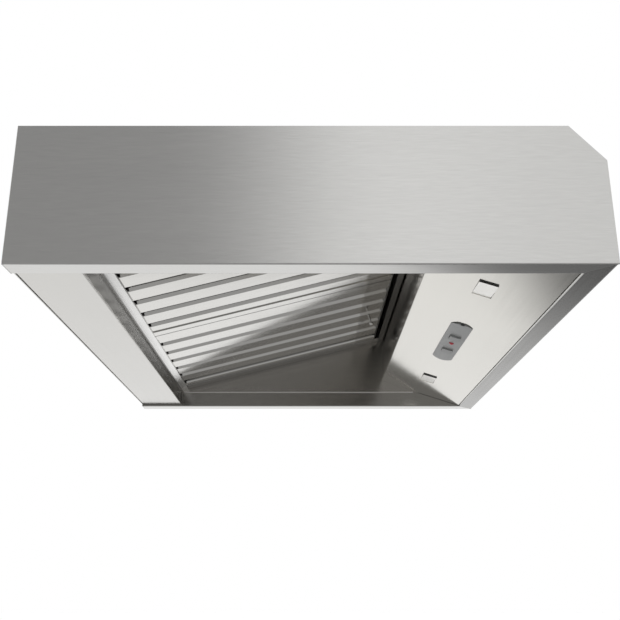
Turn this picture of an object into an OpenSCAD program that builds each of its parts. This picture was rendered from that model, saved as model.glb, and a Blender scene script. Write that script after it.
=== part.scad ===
// Wall mount range hood: a low sheet-steel canopy with two baffle filters, two lamps,
// a two-key control pod, twin pancake blowers and a round duct collar with damper flaps.
// The wall is the XZ plane, the front faces -Y and +Z is up. The origin is the centre of
// the four wall bolts on the back face. Depths named _s run forward from the wall, and
// heights named _z run up from the bottom of the canopy.

/* [Canopy] */
// Overall width
body_w = 757; // [720:1:1060]
// Overall depth from the wall
body_d = 610; // [600:1:640]
// Overall height
body_h = 154; // [150:1:200]
// Thickness of the canopy sheet
sheet_t = 1.2; // [0.8:0.1:2]
// Depth of the sloped edge at the top of the front
slope_d = 36; // [20:1:50]
// Height of the sloped edge at the top of the front
slope_h = 40; // [20:1:60]
// Width of the flat flange round the bottom
flange_w = 28; // [20:1:32]
// Outer radius of the bends in the sheet
bend_r = 2.5; // [2.1:0.1:3.5]
// Height of the upturned edge inside the side flanges
upturn_h = 33; // [28:1:40]
// Height of the upturned edge inside the front flange
hem_h = 8; // [5:0.5:12]
// Depth of the folded edges that lap under another sheet
lap_d = 14; // [8:1:18]
// Radius of the side panels' rear edges
edge_r = 1; // [0.4:0.1:1.1]
// Gap between neighbouring sheets
seam = 0.2; // [0.1:0.05:0.4]

/* [Wall bolts] */
// Distance between the bolt columns
bolt_span_x = 406.4; // [300:0.1:600]
// Distance between the bolt rows
bolt_span_z = 45; // [30:1:50]
// Height of the lower bolt row above the bottom
bolt_low_z = 45; // [40:1:48]
// Diameter of the bolt holes
bolt_hole_d = 8; // [5:0.5:12]

/* [Rear ledge and liners] */
// Depth of the rear ledge from the wall
ledge_s = 71.5; // [60:0.5:75]
// Height of the ledge above the bottom flange
ledge_z = 3.5; // [2:0.5:6]
// Height of the top of the ledge's upstand
upstand_z = 28.6; // [24:0.2:32]
// Horizontal reach of the lip that carries the filters' rear edge
lip_reach = 12.5; // [10:0.5:16]
// Radius of the bend between the upstand and the lip
lip_bend_r = 5; // [3:0.5:6]
// Height of the liners' lower edge
liner_z = 25; // [20:1:27]
// How far the liners stand inside the side flange's upturned edge
liner_step = 1.5; // [1.5:0.1:3]

/* [Filters] */
// Drop from the ceiling to the slope of the filters' lip, over the lamp panel's upper edge
filter_head = 29.3; // [28:0.1:45]
// Gap between the filters' front edge and the rail
front_gap = 7.1; // [4:0.1:12]
// Length of a filter's tail behind its pivot
tail_l = 10.5; // [8:0.5:11]
// Height of a filter frame
frame_h = 13; // [12:0.5:15]
// Thickness of the filter frame sheet
frame_t = 1.2; // [0.8:0.1:1.5]
// Width of a frame's side bars seen from below
bar_w = 16.5; // [12:0.5:20]
// Gap from the middle of the canopy to each filter
filter_mid_gap = 1; // [0.6:0.1:3]
// Space between an outer filter's side and the liner
filler_w = 24; // [18:1:30]
// Number of slats in each row of a filter
slat_count = 6; // [4:1:6]
// Width of a slat
slat_w = 33; // [28:0.5:36]
// Thickness of the slat sheet
slat_t = 0.8; // [0.5:0.1:1.2]
// Height of the turned edges of a slat
slat_h = 4.6; // [3.5:0.1:4.8]
// How far the turned edges of a slat lean outward over their height
slat_lean = 1.7; // [0.5:0.1:2]
// How far the upper slats start in front of the lower ones
slat_step = 5; // [2:0.5:10]
// Width of the cross strap at each end of the lower row
strap_w = 8; // [5:0.5:8]
// Length of the slats in front of the rear bar that has no turned edges
slat_relief = 2.5; // [1:0.5:8]
// Height of the leaning lip inside a frame's outer bar
frame_lip_h = 2.6; // [2:0.1:4]
// Diameter of the knob's ball
knob_d = 7; // [5:0.5:10]
// Diameter of the knob's stem
stem_d = 3; // [2.5:0.5:4]
// Length of the knob's stem
stem_l = 15; // [8:0.5:24]
// Width of the fixed rail in front of the filters
rail_w = 12; // [8:0.5:12.5]

/* [Lamp panel] */
// Gap between the front flange and the lamp panel's lower edge
panel_gap = 1.6; // [0.8:0.1:3]
// Height of the lamp panel's lower edge
panel_low_z = 1.6; // [1:0.2:4]
// Horizontal depth of the lamp panel
panel_reach = 139.9; // [134:0.1:142]
// Slope of the lamp panel, rising to the rear, in degrees
panel_tilt = 17.95; // [15:0.05:19]
// Forward lean of the panel's rear face, in degrees
face_lean = 4.5; // [2:0.1:6]

/* [Lamps] */
// Length of a lamp opening across the canopy
lamp_w = 46; // [30:1:80]
// Width of a lamp opening up the slope
lamp_l = 23.6; // [16:0.2:40]
// Distance from the middle of the canopy to a lamp's centre
lamp_x = 231; // [190:1:280]
// Distance up the slope from the panel's lower edge to the lamps' centre
lamp_up = 74.5; // [52:0.1:92]
// Depth of a lamp housing
lamp_h = 16; // [12:1:24]
// Thickness of a lamp lens where its housing carries it
lens_t = 2; // [1:0.2:3]
// How far the left edge of a tilted lens stands below the panel
lens_rise = 1.9; // [0.5:0.1:3]
// How far the right edge of a tilted lens lies above the panel's face
lens_sink = 0.9; // [0.2:0.1:1.5]
// Gap round a lens in its opening
lens_gap = 0.4; // [0.3:0.05:0.8]

/* [Control pod] */
// Length of the pod between the crowns of its round ends
pod_w = 183; // [160:1:220]
// Width of the pod
pod_l = 30; // [28:1:36]
// How far the round ends swell past the corners
pod_bulge = 7.75; // [4:0.25:10]
// Height of the pod's edge below the panel
pod_h = 1.2; // [1:0.1:3]
// Size of a key across the canopy
key_w = 16; // [12:0.5:22]
// Size of a key up the slope
key_l = 15; // [12:0.5:18]
// Distance from the pod's middle to a key's centre
key_x = 33; // [28:1:50]
// Travel of a key
key_travel = 1; // [0.5:0.1:1.2]
// Gap round a key
key_gap = 0.4; // [0.3:0.05:0.6]
// How far the keys stand out of the pod's face
key_rise = 2.4; // [1.2:0.1:3]
// Diameter of the indicator lens
led_d = 7; // [3:0.5:8]
// Distance from the pod's middle to the indicator, to the left
led_x = 5; // [0:0.5:12]
// How far the indicator lens stands out of the pod's face
led_rise = 2.2; // [1:0.1:2.5]

/* [Blowers] */
// Distance from the middle of the canopy to a blower's centre
blower_x = 185; // [184:1:190]
// Distance from the wall to the blowers' centre
blower_s = 112; // [110:1:116]
// Height of a blower housing
blower_h = 52; // [50:1:54]
// Thickness of the blower and box sheet
duct_t = 1; // [0.8:0.1:1.5]
// Inner radius of the scroll at its tongue
scroll_r0 = 76; // [74:0.5:80]
// Inner radius of the scroll at its outlet
scroll_r1 = 96; // [92:0.5:97]
// Outer radius of a blower wheel
wheel_r = 70; // [60:0.5:71]
// Radial depth of the wheel's blades
blade_d = 11; // [8:0.5:14]
// Number of blades on a wheel
blade_count = 32; // [16:1:40]
// Height of a blower wheel
wheel_h = 41; // [36:0.5:42]
// Radius of the motor in the wheel's cup
motor_r = 38; // [30:0.5:40]
// Diameter of the motor shaft
shaft_d = 8; // [6:0.5:10]
// Radial clearance of the shaft in its bearing
shaft_fit = 0.05; // [0.02:0.01:0.1]
// Radius of the inlet hole
inlet_r = 60; // [54:0.5:62]

/* [Discharge box and collar] */
// Half width of the discharge box
box_x = 95; // [92:1:96]
// Outer radius of the round collar
collar_r = 88; // [75:0.5:88]
// Height of the collar above the top
collar_h = 46; // [40:1:80]
// Height of the damper's rod above the top
damper_z = 10; // [9:0.5:11]
// Diameter of the damper's rod
rod_d = 4; // [3:0.5:6]
// Gap between the damper flaps and the collar
flap_gap = 1.5; // [1:0.1:3]
// Radial clearance of the flaps' knuckles on the rod
rod_fit = 0.05; // [0.02:0.01:0.1]

/* [Electrics] */
// Width of the junction box
junction_w = 66; // [58:1:68]
// Depth of the junction box
junction_d = 60; // [58:1:75]
// Height of the junction box
junction_h = 34; // [32:1:38]
// Radius of the cable bushing's bore
bushing_r = 7; // [5:0.5:9]
// Radius of the wiring conduit
conduit_r = 3; // [2.5:0.5:3]

/* [Hidden] */

// Overrun of every cut past the face that it opens
over = 0.8;
// Gap between stacked pieces that are fitted together
fit = 0.3;
// Number of steps in a sheet bend
bend_steps = 4;
// Facets of round parts
round_fn = 64;

// Half of the width, to the outer faces
half_w = body_w / 2;
// Inner face of the side flange's upturned edge
well_x = half_w - flange_w;
// Inner face of the liners
liner_x = well_x - liner_step;
// Ends of the sheets that lie between the liners
span_x = liner_x - seam;
// Ends of the sheets that lie between the side panels
wrap_x = half_w - sheet_t - seam;
// Outer radius of the tight bends along the flanges
tight_r = sheet_t + seam;
// Lower face of the top panel
ceiling_z = body_h - sheet_t;
// Height that a piece hung from the top panel reaches
hang_z = ceiling_z - seam;
// Depth where the front's sloped edge meets the lapping fold
fold_s = body_d - slope_d + (body_h - hang_z) * slope_d / slope_h;
// Drop from the wall bolts' centre to the bottom of the canopy
base_drop = bolt_low_z + bolt_span_z / 2;

// Distances from the wall to the lamp panel's lower and upper edges
panel_low_s = body_d - flange_w - panel_gap;
panel_top_s = panel_low_s - panel_reach;
// Slope of the filters, rising to the front, in degrees
filter_tilt = atan((hang_z - filter_head - upstand_z) / (panel_top_s - ledge_s));
// Point where a filter turns on the lip's front edge
pivot_s = ledge_s + lip_reach;
pivot_z = upstand_z + lip_reach * tan(filter_tilt) + (sheet_t + fit) / cos(filter_tilt);
// Level of the filter lip's lower face on the filters' slope
lip_n = -(sheet_t + fit);
// Outer edge of a filter frame
filter_out_x = liner_x - filler_w;
// Distance between slat centres, with one bar past the last gap
slat_pitch = (filter_out_x - bar_w + slat_w / 2) / (slat_count + 1 / 2);
// Gap between an outer filter's side and its filler
filler_gap = 0.9;
// Height of the lamp panel's upper edge
panel_top_z = panel_low_z + (panel_low_s - panel_top_s) * tan(panel_tilt);
// Depth where the lamp panel's rear face meets the ceiling
face_top_s = panel_top_s + (hang_z - panel_top_z) * tan(face_lean);
// Length along the filters' slope to the rail's front corner, where it meets the rear face
rail_u = (panel_top_s - pivot_s - fit
    + (pivot_z + lip_n * cos(filter_tilt) - panel_top_z) * tan(face_lean)
    + lip_n * sin(filter_tilt)) / (cos(filter_tilt) - tan(face_lean) * sin(filter_tilt));
// Length of a filter in front of its pivot
filter_l = rail_u - rail_w - front_gap;
// Level of the straps' lower face inside a filter
strap_n = frame_t + seam + slat_h;
// Width of a leaning edge's cut face
edge_w = slat_t * norm([slat_lean, slat_h]) / slat_h;
// Rear end of the lower slats, over the frame's rear flange, and front end of both rows
slat_u0 = frame_t + seam - tail_l;
slat_u1 = filter_l - frame_t - seam;
// Reach of the frame's top flange over the rear ends of the upper slats
top_lap = 6;
// Thickness of a catch magnet
magnet_t = 1.5;
// Radius of a catch magnet
magnet_r = 5;
// Distance from a magnet's centre to the filter's front end
magnet_in = 6.5;
// Distance from a magnet's centre to the filter's side
magnet_side = 40;
// Reach of the rail's shelf over the filters
shelf_l = 13;
// Level of the rail's shelf above the filters' slope
shelf_n = frame_h + fit + magnet_t;

// Sheet and wall of a lamp housing
lamp_t = 1.2;
// Rim of a lamp housing round its opening
lamp_rim = 8;
// Ledge that carries a lens
lens_ledge = 2;
// Thickness of the circuit boards
board_t = 1.6;
// Size and spacing of the light-emitting chips
chip_w = 3.5;
chip_t = 1;
chip_pitch = 12;

// Rise of the pod's crowned face over its width, and its fall towards each end
pod_crown = 1.6;
pod_fall = 0.8;
// Radii of the crowned face across and along the pod
crown_r = (pow(pod_l / 2, 2) + pow(pod_crown, 2)) / (2 * pod_crown);
barrel_r = (pow(pod_w / 2, 2) + pow(pod_fall, 2)) / (2 * pod_fall);
// Angle that the crowned face turns through, a little more than the pod's length
barrel_turn = 3 * asin(pod_w / 2 / barrel_r);
// Radius of the pod's round ends
pod_end_r = (pow(pod_l / 2, 2) + pow(pod_bulge, 2)) / (2 * pod_bulge);
// Radius of the rounded end of the indicator lens
led_end_r = 4.2;
// Width of a key's retaining flange past its hole
key_rim = 1.2;
// Thickness of a key's retaining flange
key_rim_t = 0.9;
// Radius and length of a key's stem
key_stem_r = 2.5;
key_stem_l = 5;
// Clearance of the panel's cut-out past the key flanges
cutout_gap = 1;
// Half sizes of the panel's cut-out behind the pod
cutout_x = key_x + key_w / 2 + key_gap + key_rim + cutout_gap;
cutout_l = key_l / 2 + key_gap + key_rim + cutout_gap;
// Radius and depth of the notch in the pod's left end
notch_r = 3;
notch_d = 2.2;
// Wall, inner margin and depth of the control box
cbox_t = 1.5;
cbox_margin = 6;
cbox_h = 21;
// Radius of the control box's posts
post_r = 2.2;
// Distance from the box's corner to a post's centre
post_in = 5;
// Size of a key switch below its board
switch_w = 6;
switch_h = 4;
plunger_r = 1.7;
plunger_h = 1.8;
// Gap between a key's stem and its switch
switch_gap = key_travel + fit;
// Level of the control board's lower face
board_n = key_rim_t + key_stem_l + switch_gap + plunger_h + switch_h;
// Radius of the indicator's light-emitting diode
diode_r = 2;

// Bottom of the blowers and the discharge box
blower_z = hang_z - blower_h;
// Angle of the scroll's tongue, in degrees
tongue_angle = 135;
// Angle of the scroll's outlet, in degrees
outlet_angle = 450;
// Number of steps round the scroll
scroll_steps = 42;
// Distance from a blower's centre to the end of its outlet
outlet_x = blower_x - box_x - fit;
// Distance from a blower's centre to the outer face of its tongue wall
tongue_y = scroll_r0 * sin(tongue_angle);
// Underside of the housing's top sheet, less a seam
motor_top_z = hang_z - duct_t - seam;
motor_h = 32;
// Size of the bearing boss under a motor
boss_r = 9;
boss_h = 3;
// Gap between a motor and the wheel's cup
cup_gap = 4;
// Gap between the bearing boss and the cup's floor
floor_gap = 1.5;
// Sheet of a wheel
wheel_t = 1.2;
// Gap between a wheel and its housing's top sheet
wheel_gap = 4.5;
// Thickness of a blade
blade_t = 0.9;
// Forward sweep of a blade, in degrees
sweep_angle = 8;
// Number of steps along a blade
blade_steps = 3;
// Hub of a wheel
hub_r = 9;
hub_h = 7;
// Locking nut of a wheel
nut_r = 7;
nut_h = 4;
// Depth that a shaft runs inside its motor
shaft_in = 24;
// Sheet, rim and wires of an inlet guard
guard_t = 1.2;
guard_w = 8;
wire_r = 1.1;
// Number of wire rings
ring_count = 2;
// Radius of the circle of screws that hold a housing
screw_ring_r = 58;
// Screws and rivets
screw_r = 2;
head_r = 4;
head_h = 1.8;
screw_gap = 0.2;

// Front and rear faces of the discharge box
box_rear_s = blower_s - scroll_r1 - duct_t;
box_front_s = blower_s + collar_r + lap_d / 2;
// Filter knob: its place on the middle slat, the collar under the slat and the nut above it
knob_in = 23;
knob_u = filter_l - knob_in;
knob_side = 12;
knob_x = slat_pitch * (floor(slat_count / 2) + 1 / 2) - knob_side;
collar_t = 0.8;
knob_seat_r = 3.6;
knob_nut_h = 2.4;
// Rim of the collar
rim_w = 14;
rim_hole_in = 7;
collar_screw_count = 6;
// Length of the lugs that hold the damper's rod
lug_l = 6;
// Stops under the flaps
stop_w = 16;
stop_l = 6;
stop_t = 1.5;
flap_t = 0.8;
flap_r = collar_r - duct_t - flap_gap;
knuckle_t = 1.2;
knuckle_gap = 1.6;
// Ends of the centre, middle and outer knuckles, as shares of the flaps' radius
knuckle_shares = [0.14, 0.47, 0.8];
knuckle_x = knuckle_shares * flap_r;
// Outer radius of the knuckles and lugs, and where the flaps' straight edges lie
knuckle_r = rod_d / 2 + rod_fit + knuckle_t;
flap_edge = knuckle_r + knuckle_gap;

// Junction box
junction_wall_gap = 4;
junction_x = liner_x - junction_w - junction_wall_gap;
junction_gap = 5;
junction_s = blower_s + scroll_r1 + junction_gap;
bushing_t = 2.5;
bushing_head_r = 12;
bushing_head_h = 3;
block_w = 42;
block_d = 14;
block_h = 13;
block_poles = 4;
block_groove = 1.2;
block_in = 2.5;
// Conduit from the junction box to the lamp driver
conduit_in = 11;
conduit_drop = 6.6;
elbow_r = 10;
// Lamp driver, and its distances from the liner and from the foot of the sloped edge
driver_w = 88;
driver_d = 32;
driver_h = 24;
driver_side = 49;
driver_in = 66;
driver_x = liner_x - driver_side;
driver_s = body_d - slope_d - driver_in;
ear_w = 8;
ear_t = 1.5;
// Run capacitor, its distances from the junction box's side and face, and its saddle
capacitor_r = 15;
capacitor_l = 60;
capacitor_side = 59;
capacitor_in = 33;
capacitor_x = junction_x - capacitor_side;
capacitor_s = junction_s + capacitor_in;
saddle_w = 14;
saddle_t = 1.5;

steel = "#c9c7c2";
dark_steel = "#8f8d89";
zinc = "#b5b7b8";
pod_grey = "#8c8c8c";
key_grey = "#7f8080";

// Direction of a vector, and the vector turned a quarter to its left
function unit(v) = v / norm(v);
function left_of(v) = [-v.y, v.x];
function turned(v, a) = [v.x * cos(a) - v.y * sin(a), v.x * sin(a) + v.y * cos(a)];

// Points of one bend of radius r at corner p1
function bend(p0, p1, p2, r) =
    let (u = unit(p1 - p0), v = unit(p2 - p1))
    let (turn = atan2(u.x * v.y - u.y * v.x, u * v), side = sign(turn))
    let (arm = left_of(u) * side * r, middle = p1 - u * r * tan(abs(turn) / 2) + arm)
    [for (k = [0:bend_steps]) middle - turned(arm, turn * k / bend_steps)];

// Path with every inner corner bent to radius r, or to its own radius where r is a list
function bent(path, r) = let (n = len(path))
    concat([path[0]], [for (i = [1:n - 2])
        each bend(path[i - 1], path[i], path[i + 1], is_num(r) ? r : r[i - 1])
    ], [path[n - 1]]);

// Point i of a path moved t to the path's left
function shifted(path, i, t) = let (n = len(path))
    let (a = i > 0 ? left_of(unit(path[i] - path[i - 1])) : left_of(unit(path[1] - path[0])))
    let (b = i < n - 1 ? left_of(unit(path[i + 1] - path[i])) : a)
    path[i] + (a + b) * t / (1 + a * b);

// Outline of a folded sheet whose outer face follows the path
function sheet(path, t) =
    concat(path, [for (i = [len(path) - 1:-1:0]) shifted(path, i, t)]);

// Moves a piece modelled from the canopy's bottom into the row frame
module hood() translate([0, 0, -base_drop]) children();

// Extrudes an outline of depths and heights along X
module along_x(outline, x0, x1)
    translate([x0, 0, 0]) mirror([0, 1, 0]) rotate([90, 0, 90]) linear_extrude(x1 - x0) polygon(outline);

// Extrudes an outline of X and heights forward from depth s0 to s1
module along_s(outline, s0, s1)
    translate([0, -s0, 0]) rotate([90, 0, 0]) linear_extrude(s1 - s0) polygon(outline);

// Block between two corners given as [x, depth, z]
module block(a, b)
    translate([a.x, -b.y, a.z]) cube([b.x - a.x, b.y - a.y, b.z - a.z]);

// Places pieces on the filters' slope: -Y runs forward up it, and Z stands on it
module on_slope() translate([0, -pivot_s, pivot_z]) rotate([-filter_tilt, 0, 0]) children();

// Places pieces on the lamp panel: Y runs rearward up it, and Z stands on it
module on_panel() translate([0, -panel_low_s, panel_low_z]) rotate([panel_tilt, 0, 0]) children();

// Repeats a right-hand piece on the left-hand side
module left_side() mirror([1, 0, 0]) children();
module both_sides() {
    children();
    left_side() children();
}

// Canopy

// Right side: outer plate, bottom flange, upturned edge and rear fold
module side_panel() {
    flange = bent([[half_w, bend_r * 2], [half_w, 0], [well_x, 0], [well_x, upturn_h]], tight_r);
    plate = [
        [0, bend_r], [0, body_h], [body_d - slope_d, body_h],
        [body_d, body_h - slope_h], [body_d, bend_r]
    ];
    difference() {
        along_x(plate, half_w - sheet_t, half_w);
        translate([half_w - edge_r, -edge_r, -over]) difference() {
            cube([edge_r + over, edge_r + over, body_h + over * 2]);
            cylinder(r = edge_r, h = body_h + over * 2, $fn = 32);
        }
    }
    difference() {
        along_s(sheet(flange, -sheet_t), sheet_t + seam, body_d);
        translate([0, 0, -over]) linear_extrude(upturn_h + over * 2) polygon([
            [half_w - sheet_t, -(body_d - sheet_t)], [half_w - sheet_t, -(body_d + over)],
            [well_x - over, -(body_d + over)], [well_x - over, -(body_d - flange_w - over)]
        ]);
    }
    block([half_w - lap_d, sheet_t + seam, upturn_h + lap_d],
        [half_w - sheet_t / 2, sheet_t * 2 + seam, ceiling_z - lap_d * 2]);
}
module side_panel_right() color(steel) hood() side_panel();
module side_panel_left() color(steel) hood() left_side() side_panel();

// Front face with its sloped top, bottom flange and upturned edge, mitred into the sides
module front_panel() color(steel) hood() difference() {
    along_x(sheet(bent([
        [body_d - slope_d - lap_d, hang_z], [fold_s, hang_z], [body_d, body_h - slope_h],
        [body_d, 0], [body_d - flange_w, 0], [body_d - flange_w, hem_h]
    ], bend_r), -sheet_t), -wrap_x, wrap_x);
    both_sides() {
        translate([0, 0, -over]) linear_extrude(hem_h + over * 2) polygon([
            [half_w + over, -(body_d + over + seam)],
            [well_x - over, -(body_d - flange_w - over + seam)],
            [half_w + over, -(body_d - flange_w - over + seam)]
        ]);
        block([wrap_x - bend_r - seam, body_d - slope_d - lap_d - over, hang_z - sheet_t * 2],
            [wrap_x + over, body_d - slope_d + seam, body_h + over]);
    }
}

// Places of the screws that hold one blower housing
module screw_spots() for (a = [45:90:315])
    translate([blower_x + screw_ring_r * cos(a), -blower_s + screw_ring_r * sin(a), 0]) children();

// Places of the screws round the collar's rim
module rim_spots() for (k = [0:collar_screw_count - 1]) translate([0, -blower_s, 0])
    rotate(360 / collar_screw_count * (k + 1 / 2)) translate([collar_r + rim_hole_in, 0, 0]) children();

// Centre of the junction box, where the supply cable comes in
module supply_spot() translate([-junction_x - junction_w / 2, -junction_s - junction_d / 2, 0]) children();

// Top with folded sides, the duct opening and the holes for screws and cable
module top_panel() color(steel) hood() difference() {
    along_s(sheet(bent([
        [-wrap_x, ceiling_z - lap_d], [-wrap_x, body_h], [wrap_x, body_h], [wrap_x, ceiling_z - lap_d]
    ], bend_r), -sheet_t), sheet_t + seam, body_d - slope_d);
    translate([0, -blower_s, ceiling_z - over])
        cylinder(r = collar_r - duct_t, h = sheet_t + over * 2, $fn = round_fn);
    both_sides() screw_spots() translate([0, 0, ceiling_z - over])
        cylinder(r = screw_r + screw_gap, h = sheet_t + over * 2, $fn = 24);
    rim_spots() translate([0, 0, ceiling_z - over])
        cylinder(r = screw_r + screw_gap, h = sheet_t + over * 2, $fn = 24);
    supply_spot() translate([0, 0, ceiling_z - over])
        cylinder(r = bushing_r + bushing_t + seam, h = sheet_t + over * 2, $fn = round_fn);
}

// Back with the four wall bolt holes, and a foot behind each side flange
module back_panel() color(steel) hood() difference() {
    union() {
        block([-wrap_x, 0, ledge_z], [wrap_x, sheet_t, body_h]);
        both_sides() block([well_x, 0, 0], [wrap_x, sheet_t, ledge_z + over]);
    }
    for (x = [-1, 1], row = [0, 1])
        translate([x * bolt_span_x / 2, over, bolt_low_z + row * bolt_span_z]) rotate([90, 0, 0])
            cylinder(d = bolt_hole_d, h = sheet_t + over * 2, $fn = 32);
}

// Rear ledge, its upstand and the lip under the filters
module rear_ledge() color(steel) hood() along_x(sheet(bent([
    [sheet_t + seam, ledge_z + lap_d], [sheet_t + seam, ledge_z], [ledge_s, ledge_z],
    [ledge_s, upstand_z], [pivot_s, upstand_z + lip_reach * tan(filter_tilt)]
], [bend_r, tight_r, lip_bend_r]), sheet_t), -span_x, span_x);

// Inner wall above the side flange's upturned edge
module liner() along_s(sheet(bent([
    [liner_x, liner_z], [liner_x, hang_z], [liner_x + lap_d, hang_z]
], bend_r), -sheet_t), sheet_t + seam, body_d - slope_d - lap_d - seam);
module liner_right() color(steel) hood() liner();
module liner_left() color(steel) hood() left_side() liner();

// Plate between the outer filter's side and the liner
module side_filler() on_slope() translate([0, 0, lip_n]) along_s(sheet(bent([
    [span_x, lap_d], [span_x, 0], [filter_out_x + filler_gap, 0], [filter_out_x + filler_gap, lap_d / 2]
], tight_r), -sheet_t), seam, rail_u - rail_w - seam);
module side_filler_right() color(steel) hood() side_filler();
module side_filler_left() color(steel) hood() left_side() side_filler();

// Inclined panel that carries the lamps and the control pod, with its rear face
module lamp_panel() color(steel) hood() difference() {
    along_x(sheet(bent([
        [panel_low_s, panel_low_z], [panel_top_s, panel_top_z], [face_top_s, hang_z],
        [face_top_s + lap_d, hang_z]
    ], bend_r), -sheet_t), -span_x, span_x);
    on_panel() {
        for (x = [-1, 1]) translate([x * lamp_x - lamp_w / 2, lamp_up - lamp_l / 2, -over])
            cube([lamp_w, lamp_l, sheet_t + over * 2]);
        translate([-cutout_x, lamp_up - cutout_l, -over])
            cube([cutout_x * 2, cutout_l * 2, sheet_t + over * 2]);
    }
    translate([-liner_x + conduit_in, -face_top_s + lap_d, hang_z - conduit_drop]) rotate([90, 0, 0])
        cylinder(r = conduit_r + fit, h = lap_d * 2 - bend_r * 2, $fn = 32);
}

// Rail in front of the filters, with a shelf that reaches over their front edge
module front_rail() color(steel) hood() on_slope() along_x(sheet(bent([
    [rail_u - rail_w, lip_n], [rail_u, lip_n], [rail_u, shelf_n + sheet_t],
    [filter_l - shelf_l, shelf_n + sheet_t]
], bend_r), sheet_t), -span_x, span_x);

// Magnets under the shelf that hold the filters shut
module catch_magnets() color(dark_steel) hood() on_slope() both_sides()
    for (x = [filter_mid_gap + magnet_side, filter_out_x - magnet_side])
        translate([x, -(filter_l - magnet_in), frame_h + fit]) cylinder(r = magnet_r, h = magnet_t, $fn = 32);

// Filters

// Frame of folded sheet, open above and below, with a lip that leans like the slats' edges
module filter_frame() on_slope() {
    difference() {
        block([filter_mid_gap, -tail_l, 0], [filter_out_x, filter_l, frame_h]);
        block([filter_mid_gap + frame_t, frame_t - tail_l, frame_t],
            [filter_out_x - frame_t, filter_l - frame_t, frame_h - frame_t]);
        block([filter_mid_gap + bar_w, seam, -over],
            [filter_out_x - bar_w, filter_l - frame_t, frame_t + over]);
        block([filter_mid_gap + bar_w / 2, slat_step + top_lap, frame_h - frame_t - over],
            [filter_out_x - bar_w / 2, filter_l - shelf_l, frame_h + over]);
    }
    translate([filter_out_x - bar_w, 0, 0]) along_s([
        [edge_w, 0], [0, 0], [-slat_lean * frame_lip_h / slat_h, frame_lip_h],
        [edge_w - slat_lean * frame_lip_h / slat_h, frame_lip_h]
    ], slat_relief, filter_l - frame_t);
}
module filter_frame_right() color(steel) hood() filter_frame();
module filter_frame_left() color(steel) hood() left_side() filter_frame();

// One slat of channel section, its face down and its edges turned up, leaning outward
module slat(x, u0, u1)
    let (foot = slat_w / 2, head = foot + slat_lean, inner = foot + slat_lean * slat_t / slat_h - edge_w)
    along_s([
        [x - head, slat_h], [x - foot, 0], [x + foot, 0], [x + head, slat_h],
        [x + head - edge_w, slat_h], [x + inner, slat_t], [x - inner, slat_t], [x - head + edge_w, slat_h]
    ], u0, u1);

// Lower row of slats under a strap at each end, relieved at the rear bar, with the knob's hole
module lower_slats() on_slope() difference() {
    union() {
        translate([0, 0, frame_t + seam]) for (i = [0:slat_count - 1])
            slat(slat_pitch * (i + 1 / 2), slat_u0, slat_u1);
        for (u = [slat_u0, slat_u1 - strap_w])
            block([filter_mid_gap + frame_t + seam, u, strap_n],
                [filter_out_x - frame_t - seam, u + strap_w, strap_n + slat_t]);
    }
    translate([knob_x, -knob_u, 0]) cylinder(d = stem_d + screw_gap, h = frame_h, $fn = 24);
    block([filter_mid_gap, 0, frame_t + seam + slat_t], [filter_out_x, slat_relief, frame_h]);
}
module lower_slats_right() color(steel) hood() lower_slats();
module lower_slats_left() color(steel) hood() left_side() lower_slats();

// Upper row of slats, face up over the gaps, hung from the frame's top flanges
module upper_slats() on_slope() translate([0, 0, frame_h - frame_t - seam]) for (i = [1:slat_count])
    mirror([0, 0, 1]) slat(slat_pitch * i, slat_step, slat_u1);
module upper_slats_right() color(dark_steel) hood() upper_slats();
module upper_slats_left() color(dark_steel) hood() left_side() upper_slats();

// Pull knob: ball, stem and the nut that clamps it to the slat
module filter_knob() on_slope() translate([knob_x, -knob_u, 0]) {
    translate([0, 0, frame_t - stem_l]) cylinder(d = stem_d, h = stem_l + slat_h, $fn = 24);
    translate([0, 0, frame_t - stem_l]) sphere(d = knob_d, $fn = 32);
    translate([0, 0, frame_t - collar_t]) cylinder(r = knob_seat_r, h = collar_t, $fn = 24);
    translate([0, 0, frame_t + seam * 2 + slat_t]) cylinder(r = knob_seat_r, h = knob_nut_h, $fn = 6);
}
module filter_knob_right() color(zinc) hood() filter_knob();
module filter_knob_left() color(zinc) hood() left_side() filter_knob();

// Lamps

// Tray above the lamp opening, with a ledge for the lens
module lamp_housing() on_panel() translate([lamp_x, lamp_up, sheet_t + seam]) difference() {
    union() {
        translate([-lamp_w / 2 - lamp_rim, -lamp_l / 2 - lamp_rim, 0])
            cube([lamp_w + lamp_rim * 2, lamp_l + lamp_rim * 2, lamp_t]);
        translate([-lamp_w / 2 - lens_ledge - lamp_t, -lamp_l / 2 - lens_ledge - lamp_t, 0])
            cube([lamp_w + (lens_ledge + lamp_t) * 2, lamp_l + (lens_ledge + lamp_t) * 2, lamp_h]);
    }
    translate([-lamp_w / 2, -lamp_l / 2, -over]) cube([lamp_w, lamp_l, lamp_t + over * 2]);
    translate([-lamp_w / 2 - lens_ledge, -lamp_l / 2 - lens_ledge, lamp_t])
        cube([lamp_w + lens_ledge * 2, lamp_l + lens_ledge * 2, lamp_h - lamp_t * 2]);
}
module lamp_housing_right() color(zinc) hood() lamp_housing();
module lamp_housing_left() color(zinc) hood() left_side() lamp_housing();

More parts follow.
